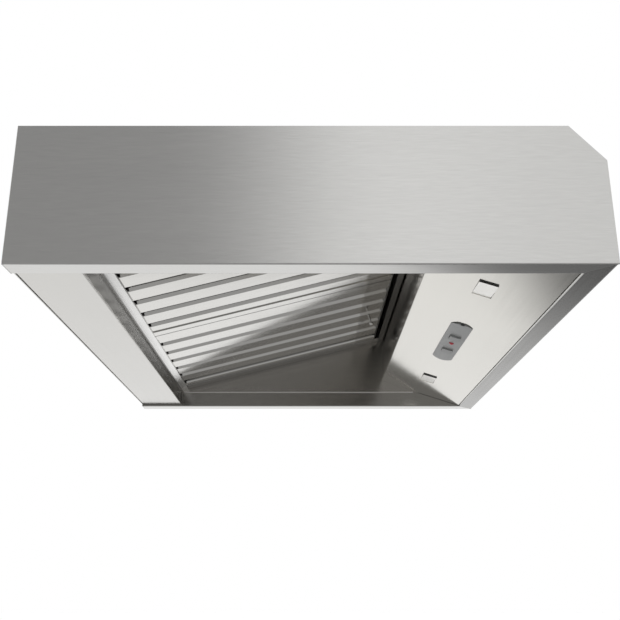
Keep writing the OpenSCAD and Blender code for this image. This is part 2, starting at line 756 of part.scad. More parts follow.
// Lens with a flange on the housing's ledge and a face that tilts down to the left
module lamp_lens(x)
    let (half = lamp_w / 2 - lens_gap, top = sheet_t + lamp_t + lens_t)
    on_panel() translate([x, lamp_up, 0]) {
        translate([
            seam - lamp_w / 2 - lens_ledge, seam - lamp_l / 2 - lens_ledge, sheet_t + lamp_t + seam * 2
        ]) cube([lamp_w + (lens_ledge - seam) * 2, lamp_l + (lens_ledge - seam) * 2, lens_t]);
        translate([0, lamp_l / 2 - lens_gap, 0]) rotate([90, 0, 0]) linear_extrude(lamp_l - lens_gap * 2)
            polygon([[-half, -lens_rise], [half, lens_sink], [half, top], [-half, top]]);
    }
module lamp_lens_right() color("#f1ede4") hood() lamp_lens(lamp_x);
module lamp_lens_left() color("#f1ede4") hood() lamp_lens(-lamp_x);

// Board of light-emitting chips under the housing's roof
module lamp_board() on_panel() translate([lamp_x, lamp_up, sheet_t + lamp_h - lamp_t - board_t]) {
    translate([-lamp_w / 2, -lamp_l / 2, 0]) cube([lamp_w, lamp_l, board_t]);
    for (k = [-1, 0, 1]) translate([k * chip_pitch - chip_w / 2, -chip_w / 2, -chip_t])
        cube([chip_w, chip_w, chip_t + board_t / 2]);
}
module lamp_board_right() color("#e8e6dc") hood() lamp_board();
module lamp_board_left() color("#e8e6dc") hood() left_side() lamp_board();

// Control pod

// Blank with round ends and a face crowned both ways
module pod_blank() intersection() {
    translate([-pod_w / 2, -pod_l / 2, -pod_h - pod_crown]) cube([pod_w, pod_l, pod_h + pod_crown - seam]);
    translate([0, 0, barrel_r - pod_h - pod_crown]) rotate([90, 0, 0]) rotate(-90 - barrel_turn / 2)
        rotate_extrude(angle = barrel_turn, $fn = 720) translate([barrel_r - crown_r, 0])
            circle(r = crown_r, $fn = 180);
    union() {
        translate([-pod_w / 2 + pod_end_r, -pod_l, -pod_h * 2 - pod_crown])
            cube([pod_w - pod_end_r * 2, pod_l * 2, pod_h * 3 + pod_crown]);
        for (x = [-1, 1]) translate([x * (pod_w / 2 - pod_end_r), 0, -pod_h * 2 - pod_crown])
            cylinder(r = pod_end_r, h = pod_h * 3 + pod_crown, $fn = 96);
    }
}

// Pod with openings for the keys and the indicator, and a notch in its left end
module control_pod() color(pod_grey) hood() on_panel() translate([0, lamp_up, 0]) difference() {
    pod_blank();
    for (x = [-1, 1])
        translate([x * key_x - key_w / 2 - key_gap, -key_l / 2 - key_gap, -pod_h - pod_crown - over])
            cube([key_w + key_gap * 2, key_l + key_gap * 2, pod_h + pod_crown + over * 2]);
    translate([-led_x, 0, -pod_h - pod_crown - over])
        cylinder(d = led_d + screw_gap, h = pod_h + pod_crown + over * 2, $fn = 32);
    translate([-pod_w / 2, 0, -pod_h - pod_crown - over]) cylinder(r = notch_r, h = notch_d + over, $fn = 24);
}

// Raised key with a crowned cap, a retaining flange behind the pod and a stem
module key(x) on_panel() translate([0, lamp_up, 0]) {
    intersection() {
        translate([x - key_w / 2, -key_l / 2, -pod_h - pod_crown - key_rise])
            cube([key_w, key_l, pod_h + pod_crown + key_rise]);
        translate([x - key_w, 0, crown_r - pod_h - pod_crown - key_rise]) rotate([0, 90, 0])
            cylinder(r = crown_r, h = key_w * 2, $fn = 180);
    }
    translate([x - key_w / 2 - key_rim - key_gap, -key_l / 2 - key_rim - key_gap, 0])
        cube([key_w + (key_rim + key_gap) * 2, key_l + (key_rim + key_gap) * 2, key_rim_t]);
    translate([x, 0, 0]) cylinder(r = key_stem_r, h = key_rim_t + key_stem_l, $fn = 24);
}
module fan_key() color(key_grey) hood() key(-key_x);
module light_key() color(key_grey) hood() key(key_x);

// Red indicator lens with a rounded end and a flange behind the pod
module indicator_lens() color("#a3242c") hood() on_panel() translate([-led_x, lamp_up, 0]) {
    translate([0, 0, led_end_r - pod_h - pod_crown - led_rise]) intersection() {
        sphere(r = led_end_r, $fn = 48);
        translate([0, 0, -led_end_r]) cylinder(d = led_d, h = led_end_r, $fn = 32);
    }
    translate([0, 0, led_end_r - pod_h - pod_crown - led_rise])
        cylinder(d = led_d, h = pod_h + pod_crown + led_rise + key_rim_t - led_end_r, $fn = 32);
    cylinder(r = led_d / 2 + key_rim, h = key_rim_t, $fn = 32);
}

// Places of the posts that carry the control board
module post_spots() for (x = [-1, 1], y = [-1, 1])
    translate([x * (cutout_x + cbox_margin - post_in), y * (cutout_l + cbox_margin - post_in), 0]) children();

// Board with two key switches and the indicator's diode
module control_board() color("#2f6b4a") hood() on_panel() translate([0, lamp_up, board_n]) {
    translate([-cutout_x - cbox_margin + seam, -cutout_l - cbox_margin + seam, 0])
        cube([(cutout_x + cbox_margin - seam) * 2, (cutout_l + cbox_margin - seam) * 2, board_t]);
    for (x = [-key_x, key_x]) {
        translate([x - switch_w / 2, -switch_w / 2, -switch_h])
            cube([switch_w, switch_w, switch_h + board_t / 2]);
        translate([x, 0, -switch_h - plunger_h]) cylinder(r = plunger_r, h = plunger_h + switch_h, $fn = 24);
    }
    translate([-led_x, 0, -switch_h - plunger_h])
        cylinder(r = diode_r, h = switch_h + plunger_h + board_t / 2, $fn = 24);
}

// Box over the control board, open below, with the board's posts
module control_box() color("#3a3a3a") hood() on_panel() translate([0, lamp_up, sheet_t + seam]) {
    difference() {
        translate([-cutout_x - cbox_margin - cbox_t, -cutout_l - cbox_margin - cbox_t, 0])
            cube([(cutout_x + cbox_margin + cbox_t) * 2, (cutout_l + cbox_margin + cbox_t) * 2, cbox_h]);
        translate([-cutout_x - cbox_margin, -cutout_l - cbox_margin, -over])
            cube([(cutout_x + cbox_margin) * 2, (cutout_l + cbox_margin) * 2, cbox_h - cbox_t + over]);
    }
    post_spots() translate([0, 0, board_n + board_t - sheet_t])
        cylinder(r = post_r, h = cbox_h - board_n - board_t + sheet_t - cbox_t / 2, $fn = 24);
}

// Blowers

// Radius of the scroll at an angle from its tongue
function scroll_r(a) =
    scroll_r0 + (scroll_r1 - scroll_r0) * (a - tongue_angle) / (outlet_angle - tongue_angle);

// Outline of the scroll and its outlet, drawn in by t, its mouth run on by extra
function scroll_outline(t, extra) = let (start = 180 - asin((tongue_y + t) / (scroll_r0 - t)))
    concat(
        [for (k = [0:scroll_steps]) let (a = start + (outlet_angle - start) * k / scroll_steps)
            (scroll_r(a) - t) * [cos(a), sin(a)]],
        [[-outlet_x - extra, scroll_r1 - t], [-outlet_x - extra, tongue_y + t]]
    );

// Right housing: scroll, top and bottom sheets, inlet and outlet
module blower_housing() difference() {
    translate([blower_x, -blower_s, blower_z]) linear_extrude(blower_h) polygon(scroll_outline(0, 0));
    translate([blower_x, -blower_s, blower_z + duct_t])
        linear_extrude(blower_h - duct_t * 2) polygon(scroll_outline(duct_t, over));
    translate([blower_x, -blower_s, blower_z - over])
        cylinder(r = inlet_r, h = duct_t + over * 2, $fn = round_fn);
    screw_spots() translate([0, 0, hang_z - duct_t - over])
        cylinder(r = screw_r + screw_gap, h = duct_t + over * 2, $fn = 24);
}
module blower_housing_right() color(zinc) hood() blower_housing();
module blower_housing_left() color(zinc) hood() left_side() blower_housing();

// Ring and wires under an inlet
module inlet_guard() translate([blower_x, -blower_s, blower_z - seam - guard_t]) {
    difference() {
        cylinder(r = inlet_r + guard_w, h = guard_t, $fn = round_fn);
        translate([0, 0, -over]) cylinder(r = inlet_r - guard_t, h = guard_t + over * 2, $fn = round_fn);
    }
    for (k = [1:ring_count]) rotate_extrude($fn = round_fn)
        translate([inlet_r * k / (ring_count + 1), 0]) circle(r = wire_r, $fn = 16);
    for (a = [0:60:120]) rotate(a) translate([-inlet_r, 0, 0]) rotate([0, 90, 0])
        cylinder(r = wire_r, h = inlet_r * 2, $fn = 16);
}
module inlet_guard_right() color(zinc) hood() inlet_guard();
module inlet_guard_left() color(zinc) hood() left_side() inlet_guard();

// Underside of a motor's boss, floor of a wheel's cup, and a wheel's top and bottom
boss_z = motor_top_z - motor_h - boss_h;
cup_z = boss_z - floor_gap - wheel_t;
wheel_top_z = motor_top_z - wheel_gap;
wheel_low_z = wheel_top_z - wheel_h;
hub_z = cup_z - hub_h;
cup_r = motor_r + cup_gap;

// Motor can and bearing boss, bored for the shaft
module blower_motor() translate([blower_x, -blower_s, 0]) difference() {
    union() {
        translate([0, 0, boss_z + boss_h]) cylinder(r = motor_r, h = motor_h, $fn = round_fn);
        translate([0, 0, boss_z]) cylinder(r = boss_r, h = boss_h * 2, $fn = 32);
    }
    translate([0, 0, boss_z - over]) cylinder(d = shaft_d + shaft_fit * 2, h = shaft_in + over * 2, $fn = 32);
}
module blower_motor_right() color(dark_steel) hood() blower_motor();
module blower_motor_left() color(dark_steel) hood() left_side() blower_motor();

// Shaft from inside the motor to the wheel's nut
module motor_shaft() translate([blower_x, -blower_s, hub_z - seam - nut_h])
    cylinder(d = shaft_d, h = boss_z + shaft_in - hub_z + seam + nut_h, $fn = 32);
module motor_shaft_right() color(zinc) hood() motor_shaft();
module motor_shaft_left() color(zinc) hood() left_side() motor_shaft();

// Section of one curved blade from its inner to its outer radius
function blade_edge(side) = [for (k = [0:blade_steps]) let (part = k / blade_steps)
    let (r = wheel_r - blade_d + blade_d * part, a = sweep_angle * part * part)
    r * [cos(a), sin(a)] + side * blade_t / 2 * [-sin(a), cos(a)]];
function reversed(list) = [for (i = [len(list) - 1:-1:0]) list[i]];

// Wheel: cup round the motor, top ring, curved blades, bottom ring and hub
module blower_wheel() translate([blower_x, -blower_s, 0]) {
    difference() {
        union() {
            translate([0, 0, wheel_top_z - wheel_t]) cylinder(r = wheel_r, h = wheel_t, $fn = round_fn);
            translate([0, 0, cup_z]) cylinder(r = cup_r + wheel_t, h = wheel_top_z - cup_z, $fn = round_fn);
        }
        translate([0, 0, cup_z + wheel_t])
            cylinder(r = cup_r, h = wheel_top_z - cup_z + over, $fn = round_fn);
        translate([0, 0, cup_z - over])
            cylinder(d = shaft_d + shaft_fit * 2, h = wheel_t + over * 2, $fn = 32);
    }
    difference() {
        translate([0, 0, hub_z]) cylinder(r = hub_r, h = hub_h + wheel_t / 2, $fn = 32);
        translate([0, 0, hub_z - over]) cylinder(d = shaft_d + shaft_fit * 2, h = hub_h * 2, $fn = 32);
    }
    difference() {
        translate([0, 0, wheel_low_z]) cylinder(r = wheel_r, h = wheel_t, $fn = round_fn);
        translate([0, 0, wheel_low_z - over])
            cylinder(r = wheel_r - blade_d / 2, h = wheel_t + over * 2, $fn = round_fn);
    }
    for (k = [1:blade_count]) rotate(360 * k / blade_count)
        translate([0, 0, wheel_low_z + wheel_t / 2]) linear_extrude(wheel_h - wheel_t)
            polygon(concat(blade_edge(-1), reversed(blade_edge(1))));
}
module blower_wheel_right() color("#d0d2d3") hood() blower_wheel();
module blower_wheel_left() color("#d0d2d3") hood() left_side() blower_wheel();

// Nut that locks a wheel on its shaft
module wheel_nut() translate([blower_x, -blower_s, hub_z - seam - nut_h]) difference() {
    cylinder(r = nut_r, h = nut_h, $fn = 6);
    translate([0, 0, -over]) cylinder(d = shaft_d + shaft_fit * 2, h = nut_h + over * 2, $fn = 32);
}
module wheel_nut_right() color(zinc) hood() wheel_nut();
module wheel_nut_left() color(zinc) hood() left_side() wheel_nut();

// Discharge box and collar

// Box that joins both outlets to the round opening
module discharge_box() color(zinc) hood() difference() {
    block([-box_x, box_rear_s, blower_z], [box_x, box_front_s, hang_z]);
    block([-box_x + duct_t, box_rear_s + duct_t, blower_z + duct_t],
        [box_x - duct_t, box_front_s - duct_t, hang_z - duct_t]);
    block([-box_x - over, blower_s - scroll_r1 + duct_t, blower_z + duct_t],
        [box_x + over, blower_s - tongue_y - duct_t, hang_z - duct_t]);
    translate([0, -blower_s, hang_z - duct_t - over])
        cylinder(r = collar_r - duct_t, h = duct_t + over * 2, $fn = round_fn);
}

// Round collar with its rim, the flaps' stops and a bored lug for each end of the damper's rod
module duct_collar() color(zinc) hood() difference() {
    translate([0, -blower_s, body_h + seam]) {
        difference() {
            union() {
                cylinder(r = collar_r + rim_w, h = sheet_t, $fn = round_fn);
                cylinder(r = collar_r, h = collar_h, $fn = round_fn);
            }
            translate([0, 0, -over]) cylinder(r = collar_r - duct_t, h = collar_h + over * 2, $fn = round_fn);
        }
        for (a = [0, 180]) rotate(a) {
            translate([-stop_w / 2, collar_r - duct_t / 2 - stop_l, damper_z - flap_t / 2 - fit - stop_t])
                cube([stop_w, stop_l, stop_t]);
            translate([collar_r - duct_t - lug_l, 0, damper_z]) rotate([0, 90, 0])
                cylinder(r = knuckle_r, h = lug_l + duct_t / 2, $fn = 32);
        }
    }
    translate([duct_t - collar_r, -blower_s, body_h + seam + damper_z]) rotate([0, 90, 0])
        cylinder(d = rod_d + rod_fit * 2, h = (collar_r - duct_t) * 2, $fn = 32);
    rim_spots() translate([0, 0, body_h - over])
        cylinder(r = screw_r + screw_gap, h = sheet_t + over * 2, $fn = 24);
}

// Rod across the collar, between its lugs' blind ends
module damper_rod() color(dark_steel) hood()
    translate([duct_t + seam - collar_r, -blower_s, body_h + seam + damper_z])
        rotate([0, 90, 0]) cylinder(d = rod_d, h = (collar_r - duct_t - seam) * 2, $fn = 32);

// Half-round flap that faces -Y, with a knuckle for each pair of ends in spans
module flap(spans) difference() {
    union() {
        intersection() {
            translate([0, 0, -flap_t / 2]) cylinder(r = flap_r, h = flap_t, $fn = round_fn * 2);
            translate([-collar_r, -collar_r, -flap_t]) cube([collar_r * 2, collar_r - flap_edge, flap_t * 2]);
        }
        for (ends = spans) {
            translate([ends[0], 0, 0]) rotate([0, 90, 0])
                cylinder(r = knuckle_r, h = ends[1] - ends[0], $fn = 32);
            translate([ends[0], -flap_edge - flap_t, -flap_t / 2])
                cube([ends[1] - ends[0], flap_edge, flap_t]);
        }
    }
    translate([-collar_r, 0, 0]) rotate([0, 90, 0])
        cylinder(d = rod_d + rod_fit * 2, h = collar_r * 2, $fn = 32);
}
module flap_place() hood() translate([0, -blower_s, body_h + seam + damper_z]) children();
module damper_flap_front() color("#c4c6c7") flap_place() flap([
    [-knuckle_x[0], knuckle_x[0]],
    [knuckle_x[1] + fit, knuckle_x[2]],
    [-knuckle_x[2], -knuckle_x[1] - fit]
]);
module damper_flap_rear() color("#c4c6c7") flap_place() rotate(180) flap([
    [knuckle_x[0] + fit, knuckle_x[1]],
    [-knuckle_x[1], -knuckle_x[0] - fit]
]);

// Electrics

// Junction box on the left, open below, with holes for the supply and the conduit
module junction_box() color(zinc) hood() difference() {
    block([-junction_x - junction_w, junction_s, hang_z - junction_h],
        [-junction_x, junction_s + junction_d, hang_z]);
    block([-junction_x - junction_w + duct_t, junction_s + duct_t, hang_z - junction_h - over],
        [-junction_x - duct_t, junction_s + junction_d - duct_t, hang_z - duct_t]);
    supply_spot() translate([0, 0, hang_z - duct_t - over])
        cylinder(r = bushing_r + bushing_t + seam, h = duct_t + over * 2, $fn = round_fn);
    translate([-liner_x + conduit_in, -junction_s - junction_d + duct_t + over, hang_z - conduit_drop])
        rotate([90, 0, 0]) cylinder(r = conduit_r + fit, h = duct_t + over * 2, $fn = 32);
}

// Cover under the junction box, with its edges turned up outside
module junction_cover() color(zinc) hood() along_s(sheet([
    [-junction_x - junction_w - seam - duct_t, hang_z - junction_h + ear_w],
    [-junction_x - junction_w - seam - duct_t, hang_z - junction_h - seam - duct_t],
    [-junction_x + seam + duct_t, hang_z - junction_h - seam - duct_t],
    [-junction_x + seam + duct_t, hang_z - junction_h + ear_w]
], duct_t), junction_s, junction_s + junction_d);

// Terminal block under the box's roof, grooved between its poles
module terminal_block() color("#e6e2d6") hood() supply_spot()
    translate([-block_w / 2, block_in - junction_d / 2, hang_z - duct_t - seam - block_h]) difference() {
        cube([block_w, block_d, block_h]);
        for (k = [1:block_poles - 1])
            translate([block_w * k / block_poles - block_groove / 2, -over, -over])
                cube([block_groove, block_d + over * 2, block_groove * 2 + over]);
    }

// Bushing in the top, for the supply cable
module cable_bushing() color("#262626") hood() supply_spot() difference() {
    union() {
        translate([0, 0, hang_z - duct_t - seam - bushing_head_h])
            cylinder(r = bushing_head_r, h = bushing_head_h, $fn = round_fn);
        translate([0, 0, hang_z - duct_t - seam * 2])
            cylinder(r = bushing_r + bushing_t, h = duct_t + sheet_t + seam * 5, $fn = round_fn);
        translate([0, 0, body_h + seam]) cylinder(r = bushing_head_r, h = bushing_head_h, $fn = round_fn);
    }
    translate([0, 0, hang_z - junction_h]) cylinder(r = bushing_r, h = junction_h * 2, $fn = round_fn);
}

// Driver of the lamps, with its fixing ears under the top
module lamp_driver() color("#dcdad2") hood() {
    block([-driver_x, driver_s - driver_d / 2, hang_z - driver_h],
        [-driver_x + driver_w, driver_s + driver_d / 2, hang_z]);
    block([-driver_x + driver_w - seam, driver_s - ear_w, hang_z - ear_t],
        [-driver_x + driver_w + ear_w, driver_s + ear_w, hang_z]);
}

// Run capacitor in its saddle under the top
module run_capacitor() color("#d8d8d4") hood() {
    translate([-capacitor_x - capacitor_l / 2, -capacitor_s, hang_z - capacitor_r - saddle_t])
        rotate([0, 90, 0]) cylinder(r = capacitor_r, h = capacitor_l, $fn = round_fn);
    block([-capacitor_x - saddle_w / 2, capacitor_s - capacitor_r - saddle_t, hang_z - capacitor_r],
        [-capacitor_x + saddle_w / 2, capacitor_s + capacitor_r + saddle_t, hang_z]);
}

// Conduit along the left filler, round one elbow to the lamp driver
module wiring_conduit() color("#4a4a4a") hood()
    translate([-liner_x + conduit_in, 0, hang_z - conduit_drop]) {
        translate([0, -junction_s - junction_d + duct_t, 0]) rotate([90, 0, 0])
            cylinder(r = conduit_r, h = driver_s - elbow_r - junction_s - junction_d + duct_t, $fn = 32);
        translate([elbow_r, -driver_s + elbow_r, 0]) rotate(180) rotate_extrude(angle = 90, $fn = 48)
            translate([elbow_r, 0]) circle(r = conduit_r, $fn = 32);
        translate([elbow_r, -driver_s, 0]) rotate([0, 90, 0])
            cylinder(r = conduit_r, h = liner_x - conduit_in - driver_x - elbow_r - seam, $fn = 32);
    }

// Screws

// Round-headed screw down from the face at z
module screw(z, length) {
    translate([0, 0, z]) cylinder(r = head_r, h = head_h, $fn = 24);
    translate([0, 0, z - length]) cylinder(r = screw_r, h = length + head_h / 2, $fn = 24);
}
module top_screws() color(zinc) hood() both_sides() screw_spots()
    screw(body_h + seam, sheet_t + duct_t + seam * 4);
module collar_screws() color(zinc) hood() rim_spots()
    screw(body_h + seam * 2 + sheet_t, sheet_t * 2 + seam);

side_panel_left();
side_panel_right();
front_panel();
top_panel();
back_panel();
rear_ledge();
liner_left();
liner_right();
side_filler_left();
side_filler_right();
lamp_panel();
front_rail();
catch_magnets();
filter_frame_left();
filter_frame_right();
lower_slats_left();
lower_slats_right();
upper_slats_left();
upper_slats_right();
filter_knob_left();
filter_knob_right();
lamp_housing_left();
lamp_housing_right();
lamp_board_left();
lamp_board_right();
lamp_lens_left();
lamp_lens_right();
control_pod();
fan_key();
light_key();
indicator_lens();
control_board();
control_box();
blower_housing_left();
blower_housing_right();
inlet_guard_left();
inlet_guard_right();
blower_wheel_left();
blower_wheel_right();
blower_motor_left();
blower_motor_right();
motor_shaft_left();
motor_shaft_right();
wheel_nut_left();
wheel_nut_right();
discharge_box();
duct_collar();
damper_rod();
damper_flap_front();
damper_flap_rear();
junction_box();
junction_cover();
terminal_block();
cable_bushing();
lamp_driver();
run_capacitor();
wiring_conduit();
top_screws();
collar_screws();
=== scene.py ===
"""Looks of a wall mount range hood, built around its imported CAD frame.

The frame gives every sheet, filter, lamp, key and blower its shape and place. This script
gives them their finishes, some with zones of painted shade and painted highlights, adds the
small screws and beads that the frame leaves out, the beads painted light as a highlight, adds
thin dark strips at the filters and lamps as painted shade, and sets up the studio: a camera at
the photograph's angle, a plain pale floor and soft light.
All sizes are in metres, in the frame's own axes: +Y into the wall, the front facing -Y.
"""

from __future__ import annotations

import logging
import math
from dataclasses import dataclass, field
from enum import Enum
from typing import Protocol

import bmesh
import bpy
from mathutils import Matrix, Vector


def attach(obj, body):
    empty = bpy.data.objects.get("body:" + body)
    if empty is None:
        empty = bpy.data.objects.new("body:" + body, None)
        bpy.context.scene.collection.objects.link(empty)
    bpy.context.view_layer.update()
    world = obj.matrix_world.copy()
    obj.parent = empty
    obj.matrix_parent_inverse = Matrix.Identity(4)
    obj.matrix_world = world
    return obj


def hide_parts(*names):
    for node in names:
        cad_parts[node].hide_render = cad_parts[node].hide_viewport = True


LOG = logging.getLogger("range_hood")

Colour = tuple[float, float, float]

# Start of a finish's first zone, below every point of the hood.
EVERYWHERE = -1.0
# Faces of a new piece that meet at more than this stay sharp.
SHARP_FOLD = math.radians(35)

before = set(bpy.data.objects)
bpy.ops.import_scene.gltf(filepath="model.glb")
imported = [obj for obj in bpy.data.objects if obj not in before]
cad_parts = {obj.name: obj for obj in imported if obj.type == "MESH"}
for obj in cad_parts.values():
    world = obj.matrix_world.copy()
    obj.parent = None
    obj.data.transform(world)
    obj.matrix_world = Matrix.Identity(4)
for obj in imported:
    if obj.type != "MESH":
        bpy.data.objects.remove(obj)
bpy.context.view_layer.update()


class Grain(Enum):
    """Direction of a sheet's brushing, as how far noise is squeezed along X, Y and Z."""

    ALONG_X = (0.03, 1.0, 1.0)
    ALONG_Y = (1.0, 0.03, 1.0)


class Shader:
    """A material's node tree, with short calls for the nodes that every finish uses."""

    def __init__(self, name: str) -> None:
        """Starts an empty material with one Principled shader.

        Args:
            name: Name of the material.
        """
        self.material = bpy.data.materials.new(name)
        self.material.use_nodes = True
        self.tree = self.material.node_tree
        self.surface = self.tree.nodes["Principled BSDF"]
        self.place = self.tree.nodes.new("ShaderNodeTexCoord").outputs["Object"]

    def set(self, **values: float | Colour) -> None:
        """Sets constants on the shader's own sockets.

        Args:
            **values: Socket names, with underscores for spaces, and their values.
        """
        for name, value in values.items():
            socket = self.surface.inputs[name.replace("_", " ")]
            socket.default_value = (*value, 1.0) if isinstance(value, tuple) else value

    def link(self, output: bpy.types.NodeSocket, name: str) -> None:
        """Links an output to one of the shader's sockets.

        Args:
            output: Socket to read.
            name: Name of the shader's input.
        """
        self.tree.links.new(output, self.surface.inputs[name])

    def mapped(self, scale: tuple[float, float, float]) -> bpy.types.NodeSocket:
        """Object coordinates multiplied along each axis.

        Args:
            scale: Factor for X, Y and Z.

        Returns:
            The scaled vector.
        """
        node = self.tree.nodes.new("ShaderNodeMapping")
        node.inputs["Scale"].default_value = scale
        self.tree.links.new(self.place, node.inputs["Vector"])
        return node.outputs["Vector"]

    def noise(
        self, scale: float, squeeze: tuple[float, float, float] = (1, 1, 1), detail: float = 2.0
    ) -> bpy.types.NodeSocket:
        """Noise between 0 and 1.

        Args:
            scale: Features in a metre.
            squeeze: Factor for each axis on top of the scale.
            detail: Octaves of finer noise.

        Returns:
            The noise value.
        """
        node = self.tree.nodes.new("ShaderNodeTexNoise")
        node.inputs["Scale"].default_value = scale
        node.inputs["Detail"].default_value = detail
        self.tree.links.new(self.mapped(squeeze), node.inputs["Vector"])
        return node.outputs["Fac"]

    def cells(self, scale: float) -> bpy.types.NodeSocket:
        """Random tone of each cell of a Voronoi pattern.

        Args:
            scale: Cells in a metre.

        Returns:
            The cells' colour.
        """
        node = self.tree.nodes.new("ShaderNodeTexVoronoi")
        node.inputs["Scale"].default_value = scale
        self.tree.links.new(self.place, node.inputs["Vector"])
        return node.outputs["Color"]

    def ranged(
        self, value: bpy.types.NodeSocket, low: float, high: float, start: float = 0.3, end: float = 0.7
    ) -> bpy.types.NodeSocket:
        """Maps a value's middle range to new limits.

        Args:
            value: Value to map.
            low: Result at start.
            high: Result at end.
            start: Lower end of the value's range.
            end: Upper end of the value's range.

        Returns:
            The mapped value.
        """
        node = self.tree.nodes.new("ShaderNodeMapRange")
        for name, number in zip(("From Min", "From Max", "To Min", "To Max"), (start, end, low, high)):
            node.inputs[name].default_value = number
        self.tree.links.new(value, node.inputs["Value"])
        return node.outputs["Result"]

    def between(
        self,
        factor: bpy.types.NodeSocket,
        first: Colour | bpy.types.NodeSocket,
        second: Colour | bpy.types.NodeSocket,
    ) -> bpy.types.NodeSocket:
        """Blends two colours.

        Args:
            factor: 0 for the first, 1 for the second.
            first: First colour, or the socket that gives it.
            second: Second colour, or the socket that gives it.

        Returns:
            The blended colour.
        """
        node = self.tree.nodes.new("ShaderNodeMix")
        node.data_type = "RGBA"
        # The Mix node names its inputs alike for every data type: 6 and 7 are the colours.
        for socket, colour in ((node.inputs[6], first), (node.inputs[7], second)):
            if isinstance(colour, tuple):
                socket.default_value = (*colour, 1.0)
            else:
                self.tree.links.new(colour, socket)
        self.tree.links.new(factor, node.inputs["Factor"])
        return node.outputs[2]

    def plus(self, first: bpy.types.NodeSocket, second: bpy.types.NodeSocket) -> bpy.types.NodeSocket:
        """Sum of two values."""
        node = self.tree.nodes.new("ShaderNodeMath")
        node.operation = "ADD"
        self.tree.links.new(first, node.inputs[0])
        self.tree.links.new(second, node.inputs[1])
        return node.outputs[0]

    def reach(self, course: tuple[float, float, float]) -> bpy.types.NodeSocket:
        """Distance of a point from the origin along a course."""
        node = self.tree.nodes.new("ShaderNodeVectorMath")
        node.operation = "DOT_PRODUCT"
        self.tree.links.new(self.place, node.inputs[0])
        node.inputs[1].default_value = course
        return node.outputs["Value"]

    def bump(self, height: bpy.types.NodeSocket, depth: float, strength: float = 1.0) -> None:
        """Raises the surface by a height pattern.

        Args:
            height: Pattern between 0 and 1.
            depth: Height of the pattern in metres.
            strength: Share of the effect.
        """
        node = self.tree.nodes.new("ShaderNodeBump")
        node.inputs["Distance"].default_value = depth
        node.inputs["Strength"].default_value = strength
        self.tree.links.new(height, node.inputs["Height"])
        self.link(node.outputs["Normal"], "Normal")


def shade(colour: Colour, share: float) -> Colour:
    """A colour made lighter or darker.

    Args:
        colour: Colour to change.
        share: Factor on each channel.

    Returns:
        The changed colour, with no channel over 1.
    """
    return tuple(min(channel * share, 1.0) for channel in colour)


class Finish(Protocol):
    """Anything that can make a material of its own name."""

    name: str

    def build(self) -> bpy.types.Material:
        """Makes the material."""


@dataclass(frozen=True)
class Zone:
    """Stretch of a folded sheet: where it starts along the sheet's course, its tone and its shine."""

    start: float
    colour: Colour
    roughness: float


@dataclass(frozen=True)
class BrushedSteel:
    """Stainless sheet with fine straight brushing, slight bands and faint smudges."""

    name: str
    grain: Grain
    zones: tuple[Zone, ...]
    spread: float = 0.02
    contrast: float = 0.02
    lines: float = 1800.0
    relief: float = 0.0000008
    fold: float = 0.0006
    course: tuple[float, float, float] = (0.0, 0.0, 1.0)

    def build(self) -> bpy.types.Material:
        """Makes the material, one tone for each zone along the course; the finishes use the zones to paint
        shade and highlights by place.
        """
        shader = Shader(self.name)
        shader.set(Metallic=1.0)
        fine = shader.noise(self.lines, self.grain.value, 3.0)
        bands = shader.noise(self.lines / 9, self.grain.value, 1.0)
        smudge = shader.noise(9.0, detail=3.0)
        streaks = shader.ranged(fine, 0.0, 1.0)
        first = self.zones[0]
        colour = self.streaked(shader, streaks, first.colour)
        rough = shader.plus(
            shader.ranged(bands, -self.spread / 2, self.spread / 2),
            shader.ranged(smudge, first.roughness - self.spread / 2, first.roughness + self.spread / 2),
        )
        reach = shader.reach(self.course)
        # Each later zone paints its own tone from its start on: this is where the hood's painted shade and
        # painted highlights go.
        for below, zone in zip(self.zones, self.zones[1:]):
            start, end = zone.start - self.fold / 2, zone.start + self.fold / 2
            step = shader.ranged(reach, 0.0, 1.0, start, end)
            colour = shader.between(step, colour, self.streaked(shader, streaks, zone.colour))
            change = shader.ranged(reach, 0.0, zone.roughness - below.roughness, start, end)
            rough = shader.plus(rough, change)
        shader.link(colour, "Base Color")
        shader.link(rough, "Roughness")
        shader.bump(fine, self.relief)
        return shader.material

    def streaked(
        self, shader: Shader, streaks: bpy.types.NodeSocket, colour: Colour
    ) -> bpy.types.NodeSocket:
        """A colour varied along the brushing.

        Args:
            shader: Material to add to.
            streaks: Pattern of the brushing, 0 to 1.
            colour: Mean colour.

        Returns:
            The varied colour.
        """
        return shader.between(streaks, shade(colour, 1 - self.contrast), shade(colour, 1 + self.contrast))


def plain_steel(name: str, colour: Colour, grain: Grain, roughness: float, **detail: float) -> BrushedSteel:
    """Brushed steel of one tone.

    Args:
        name: Name of the finish.
        colour: Its colour.
        grain: Direction of the brushing.
        roughness: How dull it is.
        **detail: Other fields of the finish.

    Returns:
        The finish.
    """
    return BrushedSteel(name, grain, (Zone(EVERYWHERE, colour, roughness),), **detail)


@dataclass(frozen=True)
class ZincSheet:
    """Galvanised sheet: dull cells of zinc with soft edges."""

    name: str
    colour: Colour = (0.60, 0.61, 0.61)
    roughness: float = 0.42

    def build(self) -> bpy.types.Material:
        """Makes the material."""
        shader = Shader(self.name)
        shader.set(Metallic=1.0)
        cells = shader.cells(70.0)
        cloud = shader.noise(25.0, detail=4.0)
        tone = shader.ranged(cells, 0.0, 1.0, 0.0, 1.0)
        shader.link(shader.between(tone, shade(self.colour, 0.84), shade(self.colour, 1.08)), "Base Color")
        shader.link(shader.ranged(cloud, self.roughness - 0.07, self.roughness + 0.1), "Roughness")
        shader.bump(cloud, 0.00005, 0.4)
        return shader.material


